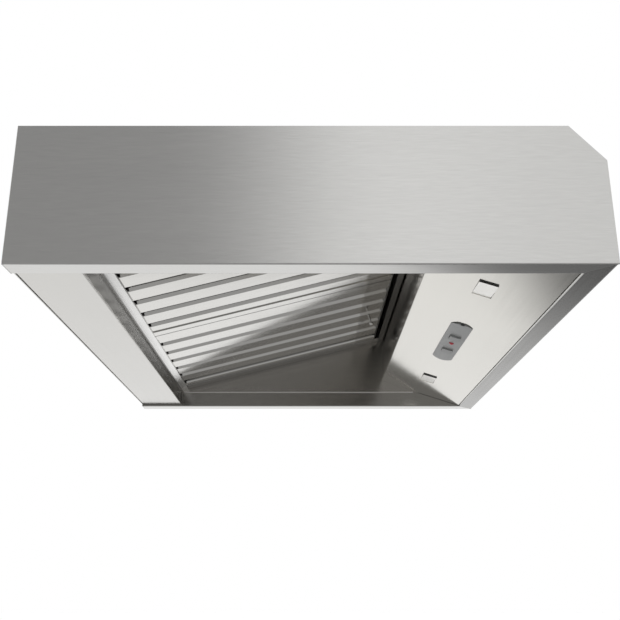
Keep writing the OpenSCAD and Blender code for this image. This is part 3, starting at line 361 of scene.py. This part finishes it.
@dataclass(frozen=True)
class TurnedMetal:
    """Plain turned, ground or rolled metal with faint wear."""

    name: str
    colour: Colour
    roughness: float = 0.25
    metallic: float = 1.0

    def build(self) -> bpy.types.Material:
        """Makes the material."""
        shader = Shader(self.name)
        shader.set(Metallic=self.metallic)
        wear = shader.noise(160.0, detail=4.0)
        shader.link(shader.between(wear, shade(self.colour, 0.86), shade(self.colour, 1.1)), "Base Color")
        shader.link(shader.ranged(wear, self.roughness - 0.05, self.roughness + 0.1), "Roughness")
        shader.bump(shader.noise(900.0), 0.00002, 0.3)
        return shader.material


@dataclass(frozen=True)
class Moulded:
    """Moulded plastic or rubber: an even colour with a fine spark-eroded texture."""

    name: str
    colour: Colour
    roughness: float = 0.45
    texture: float = 1600.0
    relief: float = 0.00003
    coat: float = 0.0

    def build(self) -> bpy.types.Material:
        """Makes the material."""
        shader = Shader(self.name)
        shader.set(Coat_Weight=self.coat, Coat_Roughness=0.12)
        cloud = shader.noise(60.0, detail=3.0)
        skin = shader.noise(self.texture, detail=3.0)
        shader.link(shader.between(cloud, shade(self.colour, 0.94), shade(self.colour, 1.06)), "Base Color")
        shader.link(shader.ranged(skin, self.roughness - 0.06, self.roughness + 0.06), "Roughness")
        shader.bump(skin, self.relief, 0.5)
        return shader.material


@dataclass(frozen=True)
class FrostedLens:
    """Pale diffusing lens, finely rippled."""

    name: str
    colour: Colour = (0.93, 0.915, 0.87)

    def build(self) -> bpy.types.Material:
        """Makes the material."""
        shader = Shader(self.name)
        shader.set(IOR=1.49, Coat_Weight=0.4, Coat_Roughness=0.1)
        ripple = shader.noise(700.0, detail=1.0)
        shader.link(shader.between(ripple, shade(self.colour, 0.97), self.colour), "Base Color")
        shader.link(shader.ranged(ripple, 0.25, 0.4), "Roughness")
        shader.bump(ripple, 0.00004, 0.5)
        return shader.material


OUTER_STEEL: Colour = (0.655, 0.65, 0.635)
ZINC = ZincSheet("zinc_sheet")
SCREW_STEEL = TurnedMetal("screw_steel", (0.62, 0.62, 0.60), 0.28)
GROUND_STEEL = TurnedMetal("ground_steel", (0.55, 0.55, 0.55), 0.18)
BLACK_RUBBER = Moulded("black_rubber", (0.02, 0.02, 0.02), 0.6)
CREAM_PLASTIC = Moulded("cream_plastic", (0.70, 0.68, 0.60), 0.4)


class Facing(Enum):
    """Way that a fastening's head looks, as the turn that takes +Z there."""

    UP = Matrix.Identity(4)
    DOWN = Matrix.Rotation(math.pi, 4, "X")


class Shape:
    """One new mesh, put together from closed solids that bmesh operators make."""

    def __init__(self) -> None:
        """Starts an empty mesh."""
        self.whole = bmesh.new()

    def join(self, solid: bmesh.types.BMesh, place: Matrix) -> None:
        """Closes a solid, turns its faces outward and adds it.

        Args:
            solid: The solid, which is used up.
            place: Where it goes.
        """
        bmesh.ops.remove_doubles(solid, verts=solid.verts, dist=0.0000005)
        bmesh.ops.recalc_face_normals(solid, faces=solid.faces)
        bmesh.ops.transform(solid, matrix=place, verts=solid.verts)
        mesh = bpy.data.meshes.new("solid")
        solid.to_mesh(mesh)
        solid.free()
        self.whole.from_mesh(mesh)
        bpy.data.meshes.remove(mesh)

    def turned(self, outline: list[tuple[float, float]], place: Matrix, steps: int = 24) -> None:
        """Adds a solid of revolution.

        Args:
            outline: Radii and heights from the axis round to the axis again.
            place: Where its origin and +Z go.
            steps: Facets round it.
        """
        solid = bmesh.new()
        points = [solid.verts.new((radius, 0.0, height)) for radius, height in outline]
        edges = [solid.edges.new(pair) for pair in zip(points, points[1:])]
        bmesh.ops.spin(
            solid, geom=points + edges, cent=(0, 0, 0), axis=(0, 0, 1), dvec=(0, 0, 0),
            angle=math.tau, steps=steps, use_merge=True, use_duplicate=False,
        )
        self.join(solid, place)

    def block(self, size: tuple[float, float, float], edge: float, place: Matrix) -> None:
        """Adds a block with rounded edges.

        Args:
            size: Its size along X, Y and Z.
            edge: Radius of its edges.
            place: Where its centre goes.
        """
        solid = bmesh.new()
        bmesh.ops.create_cube(solid, size=1.0)
        bmesh.ops.scale(solid, vec=size, verts=solid.verts)
        bmesh.ops.bevel(
            solid, geom=solid.edges[:], offset=edge, affect="EDGES", segments=2, profile=0.5, material=-1
        )
        self.join(solid, place)

    def prism(self, sides: int, radius: float, length: float, edge: float, place: Matrix) -> None:
        """Adds an upright prism with rounded upper edges.

        Args:
            sides: Number of its sides.
            radius: Distance to its corners.
            length: Its height.
            edge: Radius of its edges.
            place: Where the middle of its foot goes.
        """
        solid = bmesh.new()
        bmesh.ops.create_cone(
            solid, cap_ends=True, segments=sides, radius1=radius, radius2=radius, depth=length
        )
        bmesh.ops.translate(solid, vec=(0, 0, length / 2), verts=solid.verts)
        top = [item for item in solid.edges if all(end.co.z > length * 0.9 for end in item.verts)]
        bmesh.ops.bevel(
            solid, geom=top, offset=edge, affect="EDGES", segments=2, profile=0.5, material=-1
        )
        self.join(solid, place)

    def piece(self, name: str) -> bpy.types.Object:
        """Makes the object, smooth where its faces meet at a shallow angle.

        Args:
            name: Name of the object.

        Returns:
            The object, linked to the scene.
        """
        mesh = bpy.data.meshes.new(name)
        self.whole.to_mesh(mesh)
        self.whole.free()
        mesh.shade_smooth()
        mesh.set_sharp_from_angle(angle=SHARP_FOLD)
        made = bpy.data.objects.new(name, mesh)
        bpy.context.scene.collection.objects.link(made)
        return made


@dataclass
class Fastening:
    """Hexagon screw with a washer face, as sheet metal is put together with."""

    head: float = 0.004
    rise: float = 0.0018
    shank: float = 0.002
    reach: float = 0.003

    def add_to(self, shape: Shape, at: Vector, facing: Facing) -> None:
        """Adds one screw to a shape.

        Args:
            shape: Shape that takes it.
            at: Middle of the face that it clamps.
            facing: Way that its head looks.
        """
        place = Matrix.Translation(at) @ facing.value
        flange = self.rise * 0.38
        shape.turned([
            (0, -self.reach), (self.shank * 0.6, -self.reach), (self.shank, -self.reach * 0.85),
            (self.shank, -0.0001), (self.head, -0.0001), (self.head, flange * 0.6),
            (self.head * 0.88, flange), (0, flange),
        ], place)
        lift = Matrix.Translation((0, 0, flange * 0.9))
        shape.prism(6, self.head * 0.68, self.rise - flange * 0.9, self.rise * 0.12, place @ lift)


class SubAssembly:
    """What every sub-assembly does: dress the frame's nodes and add its own pieces."""

    made: dict[str, bpy.types.Material] = {}

    def material(self, finish: Finish) -> bpy.types.Material:
        """The finish's material, made once for the whole hood."""
        if finish.name not in self.made:
            self.made[finish.name] = finish.build()
        return self.made[finish.name]

    def dress(self, finish: Finish, *nodes: str) -> None:
        """Gives nodes of the frame a finish.

        Args:
            finish: The finish.
            *nodes: Names of the nodes.
        """
        for name in nodes:
            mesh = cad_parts[name].data
            mesh.materials.clear()
            mesh.materials.append(self.material(finish))
        LOG.info("%s: %s on %s", type(self).__name__, finish.name, ", ".join(nodes))

    def add(
        self, shape: Shape, name: str, finish: Finish, slot: str,
        body: str = "hood", stands_for: tuple[str, ...] = (),
    ) -> None:
        """Makes a new piece and fixes it to its body.

        Args:
            shape: Its mesh.
            name: Its name.
            finish: Its finish.
            slot: Name of a material slot; not used.
            body: Body that it rides on.
            stands_for: Nodes of the frame that it replaces.
        """
        piece = shape.piece(name)
        piece.data.materials.append(self.material(finish))
        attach(piece, body)
        if stands_for:
            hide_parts(*stands_for)
        LOG.info("%s: %s with %d faces", type(self).__name__, name, len(piece.data.polygons))


def on_ring(centre: Vector, radius: float, count: int, first: float) -> list[Vector]:
    """Points spaced evenly on a level circle.

    Args:
        centre: Its centre.
        radius: Its radius.
        count: Number of points.
        first: Turn of the first point from +X, in degrees.

    Returns:
        The points.
    """
    turns = [math.radians(first + 360 * item / count) for item in range(count)]
    return [centre + radius * Vector((math.cos(turn), math.sin(turn), 0)) for turn in turns]


def sides(name: str) -> tuple[str, str]:
    """A name for the left and for the right."""
    return name + "_left", name + "_right"


@dataclass
class Canopy(SubAssembly):
    """Outer sheets, and the screws that hang the blowers from the top."""

    top: float = 0.0867
    blower_x: float = 0.185
    blower_y: float = -0.112
    screw_ring: float = 0.058
    flange_to: float = -0.0668
    upturn_to: float = 0.3519
    plate_from: float = 0.3768

    def side_steel(self, outward: float) -> Finish:
        """Steel of a side panel, the inner face of its upturned edge painted darker as shade.

        Args:
            outward: -1 for the left panel, 1 for the right one.

        Returns:
            The finish.
        """
        name = "side_steel_left" if outward < 0 else "side_steel_right"
        return BrushedSteel(name, Grain.ALONG_Y, (
            # Inner face of the upturned edge: painted shade.
            Zone(EVERYWHERE, (0.39, 0.38, 0.36), 0.2),
            Zone(self.upturn_to, (0.61, 0.605, 0.59), 0.12),
            Zone(self.plate_from, OUTER_STEEL, 0.2),
        ), contrast=0.035, spread=0.02, course=(outward, 0.0, 0.0))

    def build(self) -> None:
        """Dresses the sheets and makes the screws."""
        for name, outward in zip(sides("side_panel"), (-1.0, 1.0)):
            self.dress(self.side_steel(outward), name)
        self.dress(
            BrushedSteel("front_steel", Grain.ALONG_X, (
                # Flange, below flange_to: painted shade.
                Zone(EVERYWHERE, (0.32, 0.316, 0.305), 0.2),
                Zone(self.flange_to, OUTER_STEEL, 0.24),
            )),
            "front_panel",
        )
        self.dress(plain_steel("top_steel", OUTER_STEEL, Grain.ALONG_X, 0.24), "top_panel", "back_panel")
        self.screws()

    def screws(self) -> None:
        """Four screws over each blower."""
        shape = Shape()
        for side in (-1, 1):
            centre = Vector((side * self.blower_x, self.blower_y, self.top))
            for at in on_ring(centre, self.screw_ring, 4, 45):
                Fastening().add_to(shape, at, Facing.UP)
        self.add(shape, "blower_screws", SCREW_STEEL, "zinc_steel", stands_for=("top_screws",))


@dataclass
class RearLedge(SubAssembly):
    """Folded ledge behind the filters: flat ledge, upstand and lip."""

    upstand_from: float = -0.0615
    lip_from: float = -0.0385

    def build(self) -> None:
        """Dresses the ledge, one tone for each fold: the upstand painted dark as shade and the lip painted
        light as a highlight.
        """
        self.dress(
            BrushedSteel("ledge_steel", Grain.ALONG_X, (
                Zone(EVERYWHERE, (0.60, 0.59, 0.565), 0.2),
                # Upstand: painted shade.
                Zone(self.upstand_from, (0.28, 0.273, 0.258), 0.28),
                # Lip: painted highlight.
                Zone(self.lip_from, (0.88, 0.875, 0.86), 0.22),
            )),
            "rear_ledge",
        )


@dataclass
class Liners(SubAssembly):
    """Inner walls, the fillers beside the filters and the bead along each wall's lower edge."""

    inner_x: float = 0.3494
    bead_z: float = -0.0415
    bead_radius: float = 0.0012
    bead_back: float = -0.0755
    bead_front: float = -0.4975

    def build(self) -> None:
        """Dresses the walls and the fillers, both painted darker than the outer sheets as shade, and makes the
        beads.
        """
        # Inner walls and fillers: steel painted dark, painted shade.
        self.dress(
            plain_steel("shaded_liner_steel", (0.45, 0.435, 0.41), Grain.ALONG_Y, 0.2),
            *sides("liner"),
        )
        self.dress(
            plain_steel("shaded_filler_steel", (0.32, 0.31, 0.295), Grain.ALONG_Y, 0.16),
            *sides("side_filler"),
        )
        # Bead painted lighter than its wall: painted highlight.
        bead_highlight_steel = plain_steel("bead_highlight_steel", (0.82, 0.80, 0.77), Grain.ALONG_Y, 0.3)
        for name, side in zip(sides("liner_bead"), (-1, 1)):
            self.add(self.bead(side), name, bead_highlight_steel, "inner_steel")

    def bead(self, side: int) -> Shape:
        """Rounded hem along a wall's lower edge.

        Args:
            side: -1 for the left wall, 1 for the right.

        Returns:
            The bead's shape.
        """
        shape = Shape()
        length = self.bead_back - self.bead_front
        r = self.bead_radius
        round_end = [(r * math.cos(turn), r * math.sin(turn)) for turn in (-1.2, -0.8, -0.4)]
        other_end = [(radius, length - height) for radius, height in reversed(round_end)]
        place = Matrix.Translation((side * self.inner_x, self.bead_back, self.bead_z)) @ Matrix.Rotation(
            math.pi / 2, 4, "X"
        )
        shape.turned([(0, -r), *round_end, (r, 0), (r, length), *other_end, (0, length + r)], place, 16)
        return shape


@dataclass
class PanelPlace:
    """Place of the lamp panel, whose own axes run across, up the slope and away from below."""

    low_y: float = -0.5804
    low_z: float = -0.0659
    tilt: float = math.radians(17.95)

    def matrix(self, x: float, up: float, rise: float) -> Matrix:
        """Matrix that takes a shape's origin to a point on the panel.

        Args:
            x: Distance across from the middle.
            up: Distance up the slope.
            rise: Distance above the panel's lower face.

        Returns:
            The matrix, with +Z standing on the panel.
        """
        seat = Matrix.Translation((0, self.low_y, self.low_z)) @ Matrix.Rotation(self.tilt, 4, "X")
        return seat @ Matrix.Translation((x, up, rise))


@dataclass
class LampPanel(SubAssembly):
    """Inclined panel with its rear face, and the rail in front of the filters."""

    face_from: float = -0.0196

    def build(self) -> None:
        """Dresses the panel, its rear face painted lighter as a highlight and smoother, and the rail, painted
        near black as shade.
        """
        self.dress(
            BrushedSteel("lamp_panel_steel", Grain.ALONG_X, (
                Zone(EVERYWHERE, (0.695, 0.68, 0.638), 0.15),
                # Rear face: painted highlight.
                Zone(self.face_from, (0.86, 0.84, 0.80), 0.09),
            ), contrast=0.012),
            "lamp_panel",
        )
        # Front rail painted near black: painted shade.
        self.dress(plain_steel("shaded_rail_steel", (0.075, 0.072, 0.066), Grain.ALONG_X, 0.25), "front_rail")


@dataclass
class Lamps(SubAssembly):
    """Two recessed lamps: housing, board, tilted lens and a thin black strip along the lens's lower edge that
    stands as painted shade.
    """

    place: PanelPlace = field(default_factory=PanelPlace)
    x: float = 0.231
    up: float = 0.0745
    half_across: float = 0.023
    edge_shade_size: tuple[float, float, float] = (0.0003, 0.0228, 0.0017)
    edge_shade_in: float = 0.00023
    edge_shade_drop: float = 0.00095

    def build(self) -> None:
        """Dresses the lamps and makes their black strips of painted shade."""
        self.dress(ZINC, *sides("lamp_housing"))
        self.dress(FrostedLens("lamp_lens"), *sides("lamp_lens"))
        self.dress(Moulded("lamp_board", (0.80, 0.79, 0.74), 0.3), *sides("lamp_board"))
        # Thin black strip at the lens's lower edge: painted shade.
        for name, side in zip(sides("lamp_edge_shade"), (-1, 1)):
            shape = Shape()
            left_edge = side * self.x - self.half_across + self.edge_shade_in
            place = self.place.matrix(left_edge, self.up, -self.edge_shade_drop)
            shape.block(self.edge_shade_size, self.edge_shade_size[0] / 4, place)
            self.add(shape, name, BLACK_RUBBER, "bushing_black")


@dataclass
class ControlPod(SubAssembly):
    """Pod with two keys and an indicator, its board and box, and the plug in its end notch."""

    place: PanelPlace = field(default_factory=PanelPlace)
    up: float = 0.0745
    half_length: float = 0.0915
    plug_radius: float = 0.0027

    def build(self) -> None:
        """Dresses the pod and its keys, and makes the plug."""
        self.dress(Moulded("pod_plastic", (0.235, 0.238, 0.235), 0.36), "control_pod")
        self.dress(Moulded("key_plastic", (0.20, 0.203, 0.20), 0.36), "fan_key", "light_key")
        self.dress(Moulded("indicator_red", (0.40, 0.03, 0.045), 0.2, coat=0.6), "indicator_lens")
        self.dress(Moulded("circuit_board", (0.03, 0.18, 0.09), 0.3), "control_board")
        self.dress(Moulded("box_plastic", (0.045, 0.045, 0.045), 0.5), "control_box")
        shape = Shape()
        r = self.plug_radius
        place = self.place.matrix(-self.half_length + r * 0.9, self.up, -0.0005) @ Facing.DOWN.value
        shape.turned([
            (0, 0), (r, 0), (r, 0.0009), (r * 0.9, 0.0011), (r * 0.55, 0.0011), (r * 0.45, 0.0008), (0, 0.0007),
        ], place)
        self.add(shape, "pod_end_plug", BLACK_RUBBER, "bushing_black")


@dataclass
class Filters(SubAssembly):
    """Two baffle filters, their knobs and the magnets that hold them."""

    slope: float = math.radians(14.394)
    front_shade: float = 0.39
    front_wall: float = 0.4261
    pivot: tuple[float, float, float] = (0.0, -0.084, -0.034143)
    strip_size: tuple[float, float, float] = (0.0004, 0.349, 0.0029)
    strip_at: tuple[float, float, float] = (0.30745, 0.1775, 0.004)
    strip_lean: float = math.radians(20.28)

    def build(self) -> None:
        """Dresses the filters, a band before the frames' front walls painted darker and the front walls painted
        near black, both as shade, and makes the dark strips of painted shade.
        """
        up_slope = (0.0, -math.cos(self.slope), math.sin(self.slope))
        self.dress(
            BrushedSteel("filter_steel", Grain.ALONG_Y, (
                Zone(EVERYWHERE, (0.70, 0.69, 0.665), 0.13),
                # Band before the front walls: painted shade.
                Zone(self.front_shade, (0.52, 0.51, 0.49), 0.13),
                # Front walls: painted shade.
                Zone(self.front_wall, (0.09, 0.088, 0.083), 0.3),
            ), course=up_slope),
            *sides("filter_frame"), *sides("lower_slats"),
        )
        self.dress(
            plain_steel("shaded_slat_steel", (0.42, 0.41, 0.39), Grain.ALONG_Y, 0.22),
            *sides("upper_slats"),
        )
        self.dress(TurnedMetal("knob_steel", (0.74, 0.73, 0.70), 0.16), *sides("filter_knob"))
        self.dress(TurnedMetal("magnet_black", (0.09, 0.09, 0.09), 0.4), "catch_magnets")
        # Dark strips over the gaps beside the filters: painted shade.
        gap_shade_steel = plain_steel("gap_shade_steel", (0.27, 0.265, 0.25), Grain.ALONG_Y, 0.2)
        for name, body, side in zip(sides("gap_shade_strip"), sides("filter"), (-1, 1)):
            self.add(self.strip(side), name, gap_shade_steel, "filter_steel", body)

    def strip(self, side: int) -> Shape:
        """Thin dark strip standing on the lip of a filter's outer bar: painted shade over the gap behind it.

        Args:
            side: -1 for the left filter, 1 for the right one.

        Returns:
            The strip's shape.
        """
        across, up, rise = self.strip_at
        slope = Matrix.Translation(self.pivot) @ Matrix.Rotation(-self.slope, 4, "X")
        lean = Matrix.Rotation(-side * self.strip_lean, 4, "Y")
        shape = Shape()
        place = slope @ Matrix.Translation((side * across, -up, rise)) @ lean
        shape.block(self.strip_size, self.strip_size[0] / 4, place)
        return shape


@dataclass
class Blowers(SubAssembly):
    """Two blowers: scroll, guard, wheel, motor and shaft, with the screws of the guards."""

    x: float = 0.185
    y: float = -0.112
    guard_z: float = 0.0317
    screw_ring: float = 0.0642

    def build(self) -> None:
        """Dresses the blowers and makes the guards' screws."""
        self.dress(ZINC, *sides("blower_housing"))
        self.dress(
            TurnedMetal("guard_wire", (0.58, 0.58, 0.58), 0.3),
            *sides("inlet_guard"), *sides("wheel_nut"),
        )
        self.dress(TurnedMetal("wheel_aluminium", (0.70, 0.71, 0.72), 0.35), *sides("blower_wheel"))
        self.dress(GROUND_STEEL, *sides("motor_shaft"))
        self.dress(Moulded("motor_paint", (0.03, 0.03, 0.033), 0.35, coat=0.3), *sides("blower_motor"))
        for name, side in zip(sides("guard_screws"), (-1, 1)):
            shape = Shape()
            for at in on_ring(Vector((side * self.x, self.y, self.guard_z)), self.screw_ring, 3, 30):
                Fastening(0.0032, 0.0015, 0.0014, 0.003).add_to(shape, at, Facing.DOWN)
            self.add(shape, name, SCREW_STEEL, "zinc_steel")


@dataclass
class DuctOutlet(SubAssembly):
    """Discharge box, round collar with its screws, damper rod and flaps."""

    y: float = -0.112
    rim_top: float = 0.0881
    screw_ring: float = 0.095

    def build(self) -> None:
        """Dresses the outlet and makes the collar's screws."""
        self.dress(ZINC, "discharge_box", "duct_collar")
        self.dress(GROUND_STEEL, "damper_rod")
        self.dress(
            TurnedMetal("flap_aluminium", (0.72, 0.73, 0.74), 0.38), "damper_flap_front", "damper_flap_rear"
        )
        shape = Shape()
        for at in on_ring(Vector((0, self.y, self.rim_top)), self.screw_ring, 6, 30):
            Fastening(reach=0.0026).add_to(shape, at, Facing.UP)
        self.add(shape, "rim_screws", SCREW_STEEL, "zinc_steel", stands_for=("collar_screws",))


@dataclass
class Electrics(SubAssembly):
    """Junction box and what it feeds, with the screws of its cover, terminal block and driver."""

    box_x: float = -0.312
    cover_z: float = 0.0499
    cover_screws_y: tuple[float, float] = (-0.221, -0.265)
    block_y: float = -0.2635
    block_z: float = 0.0709
    pole_pitch: float = 0.0105
    poles: int = 4
    driver_ear: tuple[float, float, float] = (-0.208, -0.508, 0.0836)

    def build(self) -> None:
        """Dresses the electrics and makes their screws."""
        self.dress(ZINC, "junction_box", "junction_cover")
        self.dress(CREAM_PLASTIC, "terminal_block", "lamp_driver")
        self.dress(BLACK_RUBBER, "cable_bushing")
        self.dress(Moulded("capacitor_plastic", (0.70, 0.70, 0.67), 0.3, coat=0.4), "run_capacitor")
        self.dress(Moulded("conduit_plastic", (0.05, 0.05, 0.05), 0.5), "wiring_conduit")
        shape = Shape()
        for y in self.cover_screws_y:
            Fastening(0.0034, 0.0016, 0.0015, 0.004).add_to(
                shape, Vector((self.box_x, y, self.cover_z)), Facing.DOWN
            )
        Fastening(0.003, 0.0015, 0.0014, 0.001).add_to(shape, Vector(self.driver_ear), Facing.DOWN)
        self.add(shape, "cover_screws", SCREW_STEEL, "zinc_steel")
        shape = Shape()
        for pole in range(self.poles):
            across = (pole - (self.poles - 1) / 2) * self.pole_pitch
            at = Vector((self.box_x + across, self.block_y, self.block_z))
            Fastening(0.003, 0.0012, 0.0014, 0.003).add_to(shape, at, Facing.DOWN)
        self.add(shape, "terminal_screws", SCREW_STEEL, "zinc_steel")


@dataclass
class Studio:
    """Camera, floor and soft light."""

    eye: Vector = field(default_factory=lambda: Vector((-1.1284, -0.3, -0.3548)))
    pitch: float = math.radians(17.73)
    lens: float = 47.29
    shift: float = 0.0073
    floor_drop: float = 1.1
    floor_size: float = 30.0
    floor_glow: float = 0.2

    def build(self) -> None:
        """Sets up the whole studio."""
        self.camera()
        self.floor()
        self.sky()

    def camera(self) -> None:
        """Camera at the photograph's angle, looking along +X and up."""
        data = bpy.data.cameras.new("camera")
        data.lens = self.lens
        data.sensor_width = 36.0
        data.shift_x = self.shift
        data.clip_start = 0.01
        data.clip_end = 100.0
        camera = bpy.data.objects.new("camera", data)
        camera.location = self.eye
        camera.rotation_euler = (math.pi / 2 + self.pitch, 0.0, -math.pi / 2)
        bpy.context.scene.collection.objects.link(camera)
        bpy.context.scene.camera = camera

    def floor(self) -> None:
        """Plain pale floor below the hood, white to the camera."""
        shape = bmesh.new()
        bmesh.ops.create_grid(shape, x_segments=1, y_segments=1, size=self.floor_size / 2)
        bmesh.ops.translate(shape, verts=shape.verts, vec=(0, 0, -self.floor_drop))
        mesh = bpy.data.meshes.new("floor")
        shape.to_mesh(mesh)
        shape.free()
        floor = bpy.data.objects.new("floor", mesh)
        bpy.context.scene.collection.objects.link(floor)
        shader = Shader("floor_paper")
        shader.set(Base_Color=(0.9, 0.9, 0.9), Roughness=0.8, Emission_Color=(1.0, 1.0, 1.0))
        seen = shader.tree.nodes.new("ShaderNodeLightPath").outputs["Is Camera Ray"]
        shader.link(shader.ranged(seen, 0.0, self.floor_glow, 0.0, 1.0), "Emission Strength")
        mesh.materials.append(shader.material)
        floor.visible_glossy = False

    def sky(self) -> None:
        """Soft light from all round: white to the camera, and paler in front than behind for metal."""
        world = bpy.data.worlds.new("studio")
        bpy.context.scene.world = world
        world.use_nodes = True
        world.node_tree.nodes.clear()
        StudioSky(world.node_tree).build()


class StudioSky:
    """Node tree of the light round the hood, which depends on the direction alone."""

    MATT_LEVEL = 0.9
    FLOOR_LEVEL = 0.39
    WALL_SHADE = 0.7

    def __init__(self, tree: bpy.types.NodeTree) -> None:
        """Splits the direction into its parts.

        Args:
            tree: The world's empty node tree.
        """
        self.tree = tree
        place = tree.nodes.new("ShaderNodeTexCoord")
        split = tree.nodes.new("ShaderNodeSeparateXYZ")
        tree.links.new(place.outputs["Generated"], split.inputs[0])
        self.parts = split.outputs

    def ramp(
        self, value: bpy.types.NodeSocket, start: float, end: float, low: float, high: float
    ) -> bpy.types.NodeSocket:
        """Smooth step of a value.

        Args:
            value: Value that the step follows.
            start: Where the step starts.
            end: Where it ends.
            low: Result before the step.
            high: Result after it.

        Returns:
            The stepped value.
        """
        node = self.tree.nodes.new("ShaderNodeMapRange")
        node.interpolation_type = "SMOOTHSTEP"
        for name, number in zip(("From Min", "From Max", "To Min", "To Max"), (start, end, low, high)):
            node.inputs[name].default_value = number
        self.tree.links.new(value, node.inputs["Value"])
        return node.outputs["Result"]

    def math(self, operation: str, *values: bpy.types.NodeSocket | float) -> bpy.types.NodeSocket:
        """One Math node.

        Args:
            operation: Blender's name of the operation.
            *values: Sockets or numbers to work on.

        Returns:
            The result.
        """
        node = self.tree.nodes.new("ShaderNodeMath")
        node.operation = operation
        for socket, value in zip(node.inputs, values):
            if isinstance(value, (int, float)):
                socket.default_value = value
            else:
                self.tree.links.new(value, socket)
        return node.outputs[0]

    def blend(
        self, share: bpy.types.NodeSocket, first: bpy.types.NodeSocket | float,
        second: bpy.types.NodeSocket | float,
    ) -> bpy.types.NodeSocket:
        """Goes from one level to another.

        Args:
            share: 0 for the first, 1 for the second.
            first: First level.
            second: Second level.

        Returns:
            The level between them.
        """
        return self.math("ADD", first, self.math("MULTIPLY", share, self.math("SUBTRACT", second, first)))

    def metal_level(self) -> bpy.types.NodeSocket:
        """Level that polished metal reflects: bright ahead, falling to the wall behind."""
        x, y, z = (self.parts[axis] for axis in "XYZ")
        steep = self.math("SUBTRACT", self.math("MULTIPLY", y, -0.55), z)
        ahead = self.ramp(steep, 0.395, 0.475, 1.0, 0.155)
        rise = self.ramp(y, -0.08, 0.14, 0.985, 0.34)
        upper = self.math("MULTIPLY", rise, self.ramp(y, -0.1, -0.34, 1.0, 0.86))
        above = self.blend(self.ramp(x, -0.1, -0.5, 0.0, 1.0), ahead, upper)
        below = self.blend(self.ramp(x, 0.3, -0.1, 0.0, 1.0), ahead, self.FLOOR_LEVEL)
        level = self.blend(self.ramp(z, -0.02, -0.12, 0.0, 1.0), above, below)
        wall = self.math("MULTIPLY", self.ramp(y, 0.42, 0.6, 0.0, 1.0), self.ramp(x, 0.1, 0.3, 0.0, 1.0))
        shaded = self.math("SUBTRACT", 1.0, self.math("MULTIPLY", wall, self.WALL_SHADE))
        return self.math("MULTIPLY", level, shaded)

    def build(self) -> None:
        """Joins the light for metal, for matt surfaces and for the camera."""
        path = self.tree.nodes.new("ShaderNodeLightPath")
        level = self.blend(path.outputs["Is Glossy Ray"], self.MATT_LEVEL, self.metal_level())
        final = self.blend(path.outputs["Is Camera Ray"], level, 1.0)
        light = self.tree.nodes.new("ShaderNodeBackground")
        light.inputs["Color"].default_value = (1.0, 1.0, 1.0, 1.0)
        self.tree.links.new(final, light.inputs["Strength"])
        out = self.tree.nodes.new("ShaderNodeOutputWorld")
        self.tree.links.new(light.outputs[0], out.inputs["Surface"])


def main() -> None:
    """Builds the sub-assemblies in order, then the studio."""
    bpy.context.scene.view_settings.view_transform = "Standard"
    for part in (
        Canopy(), RearLedge(), Liners(), LampPanel(), Lamps(), ControlPod(), Filters(), Blowers(),
        DuctOutlet(), Electrics(), Studio(),
    ):
        part.build()
        LOG.info("%s done", type(part).__name__)


if __name__ == "__main__":
    logging.basicConfig(level=logging.INFO, format="%(message)s")
    main()
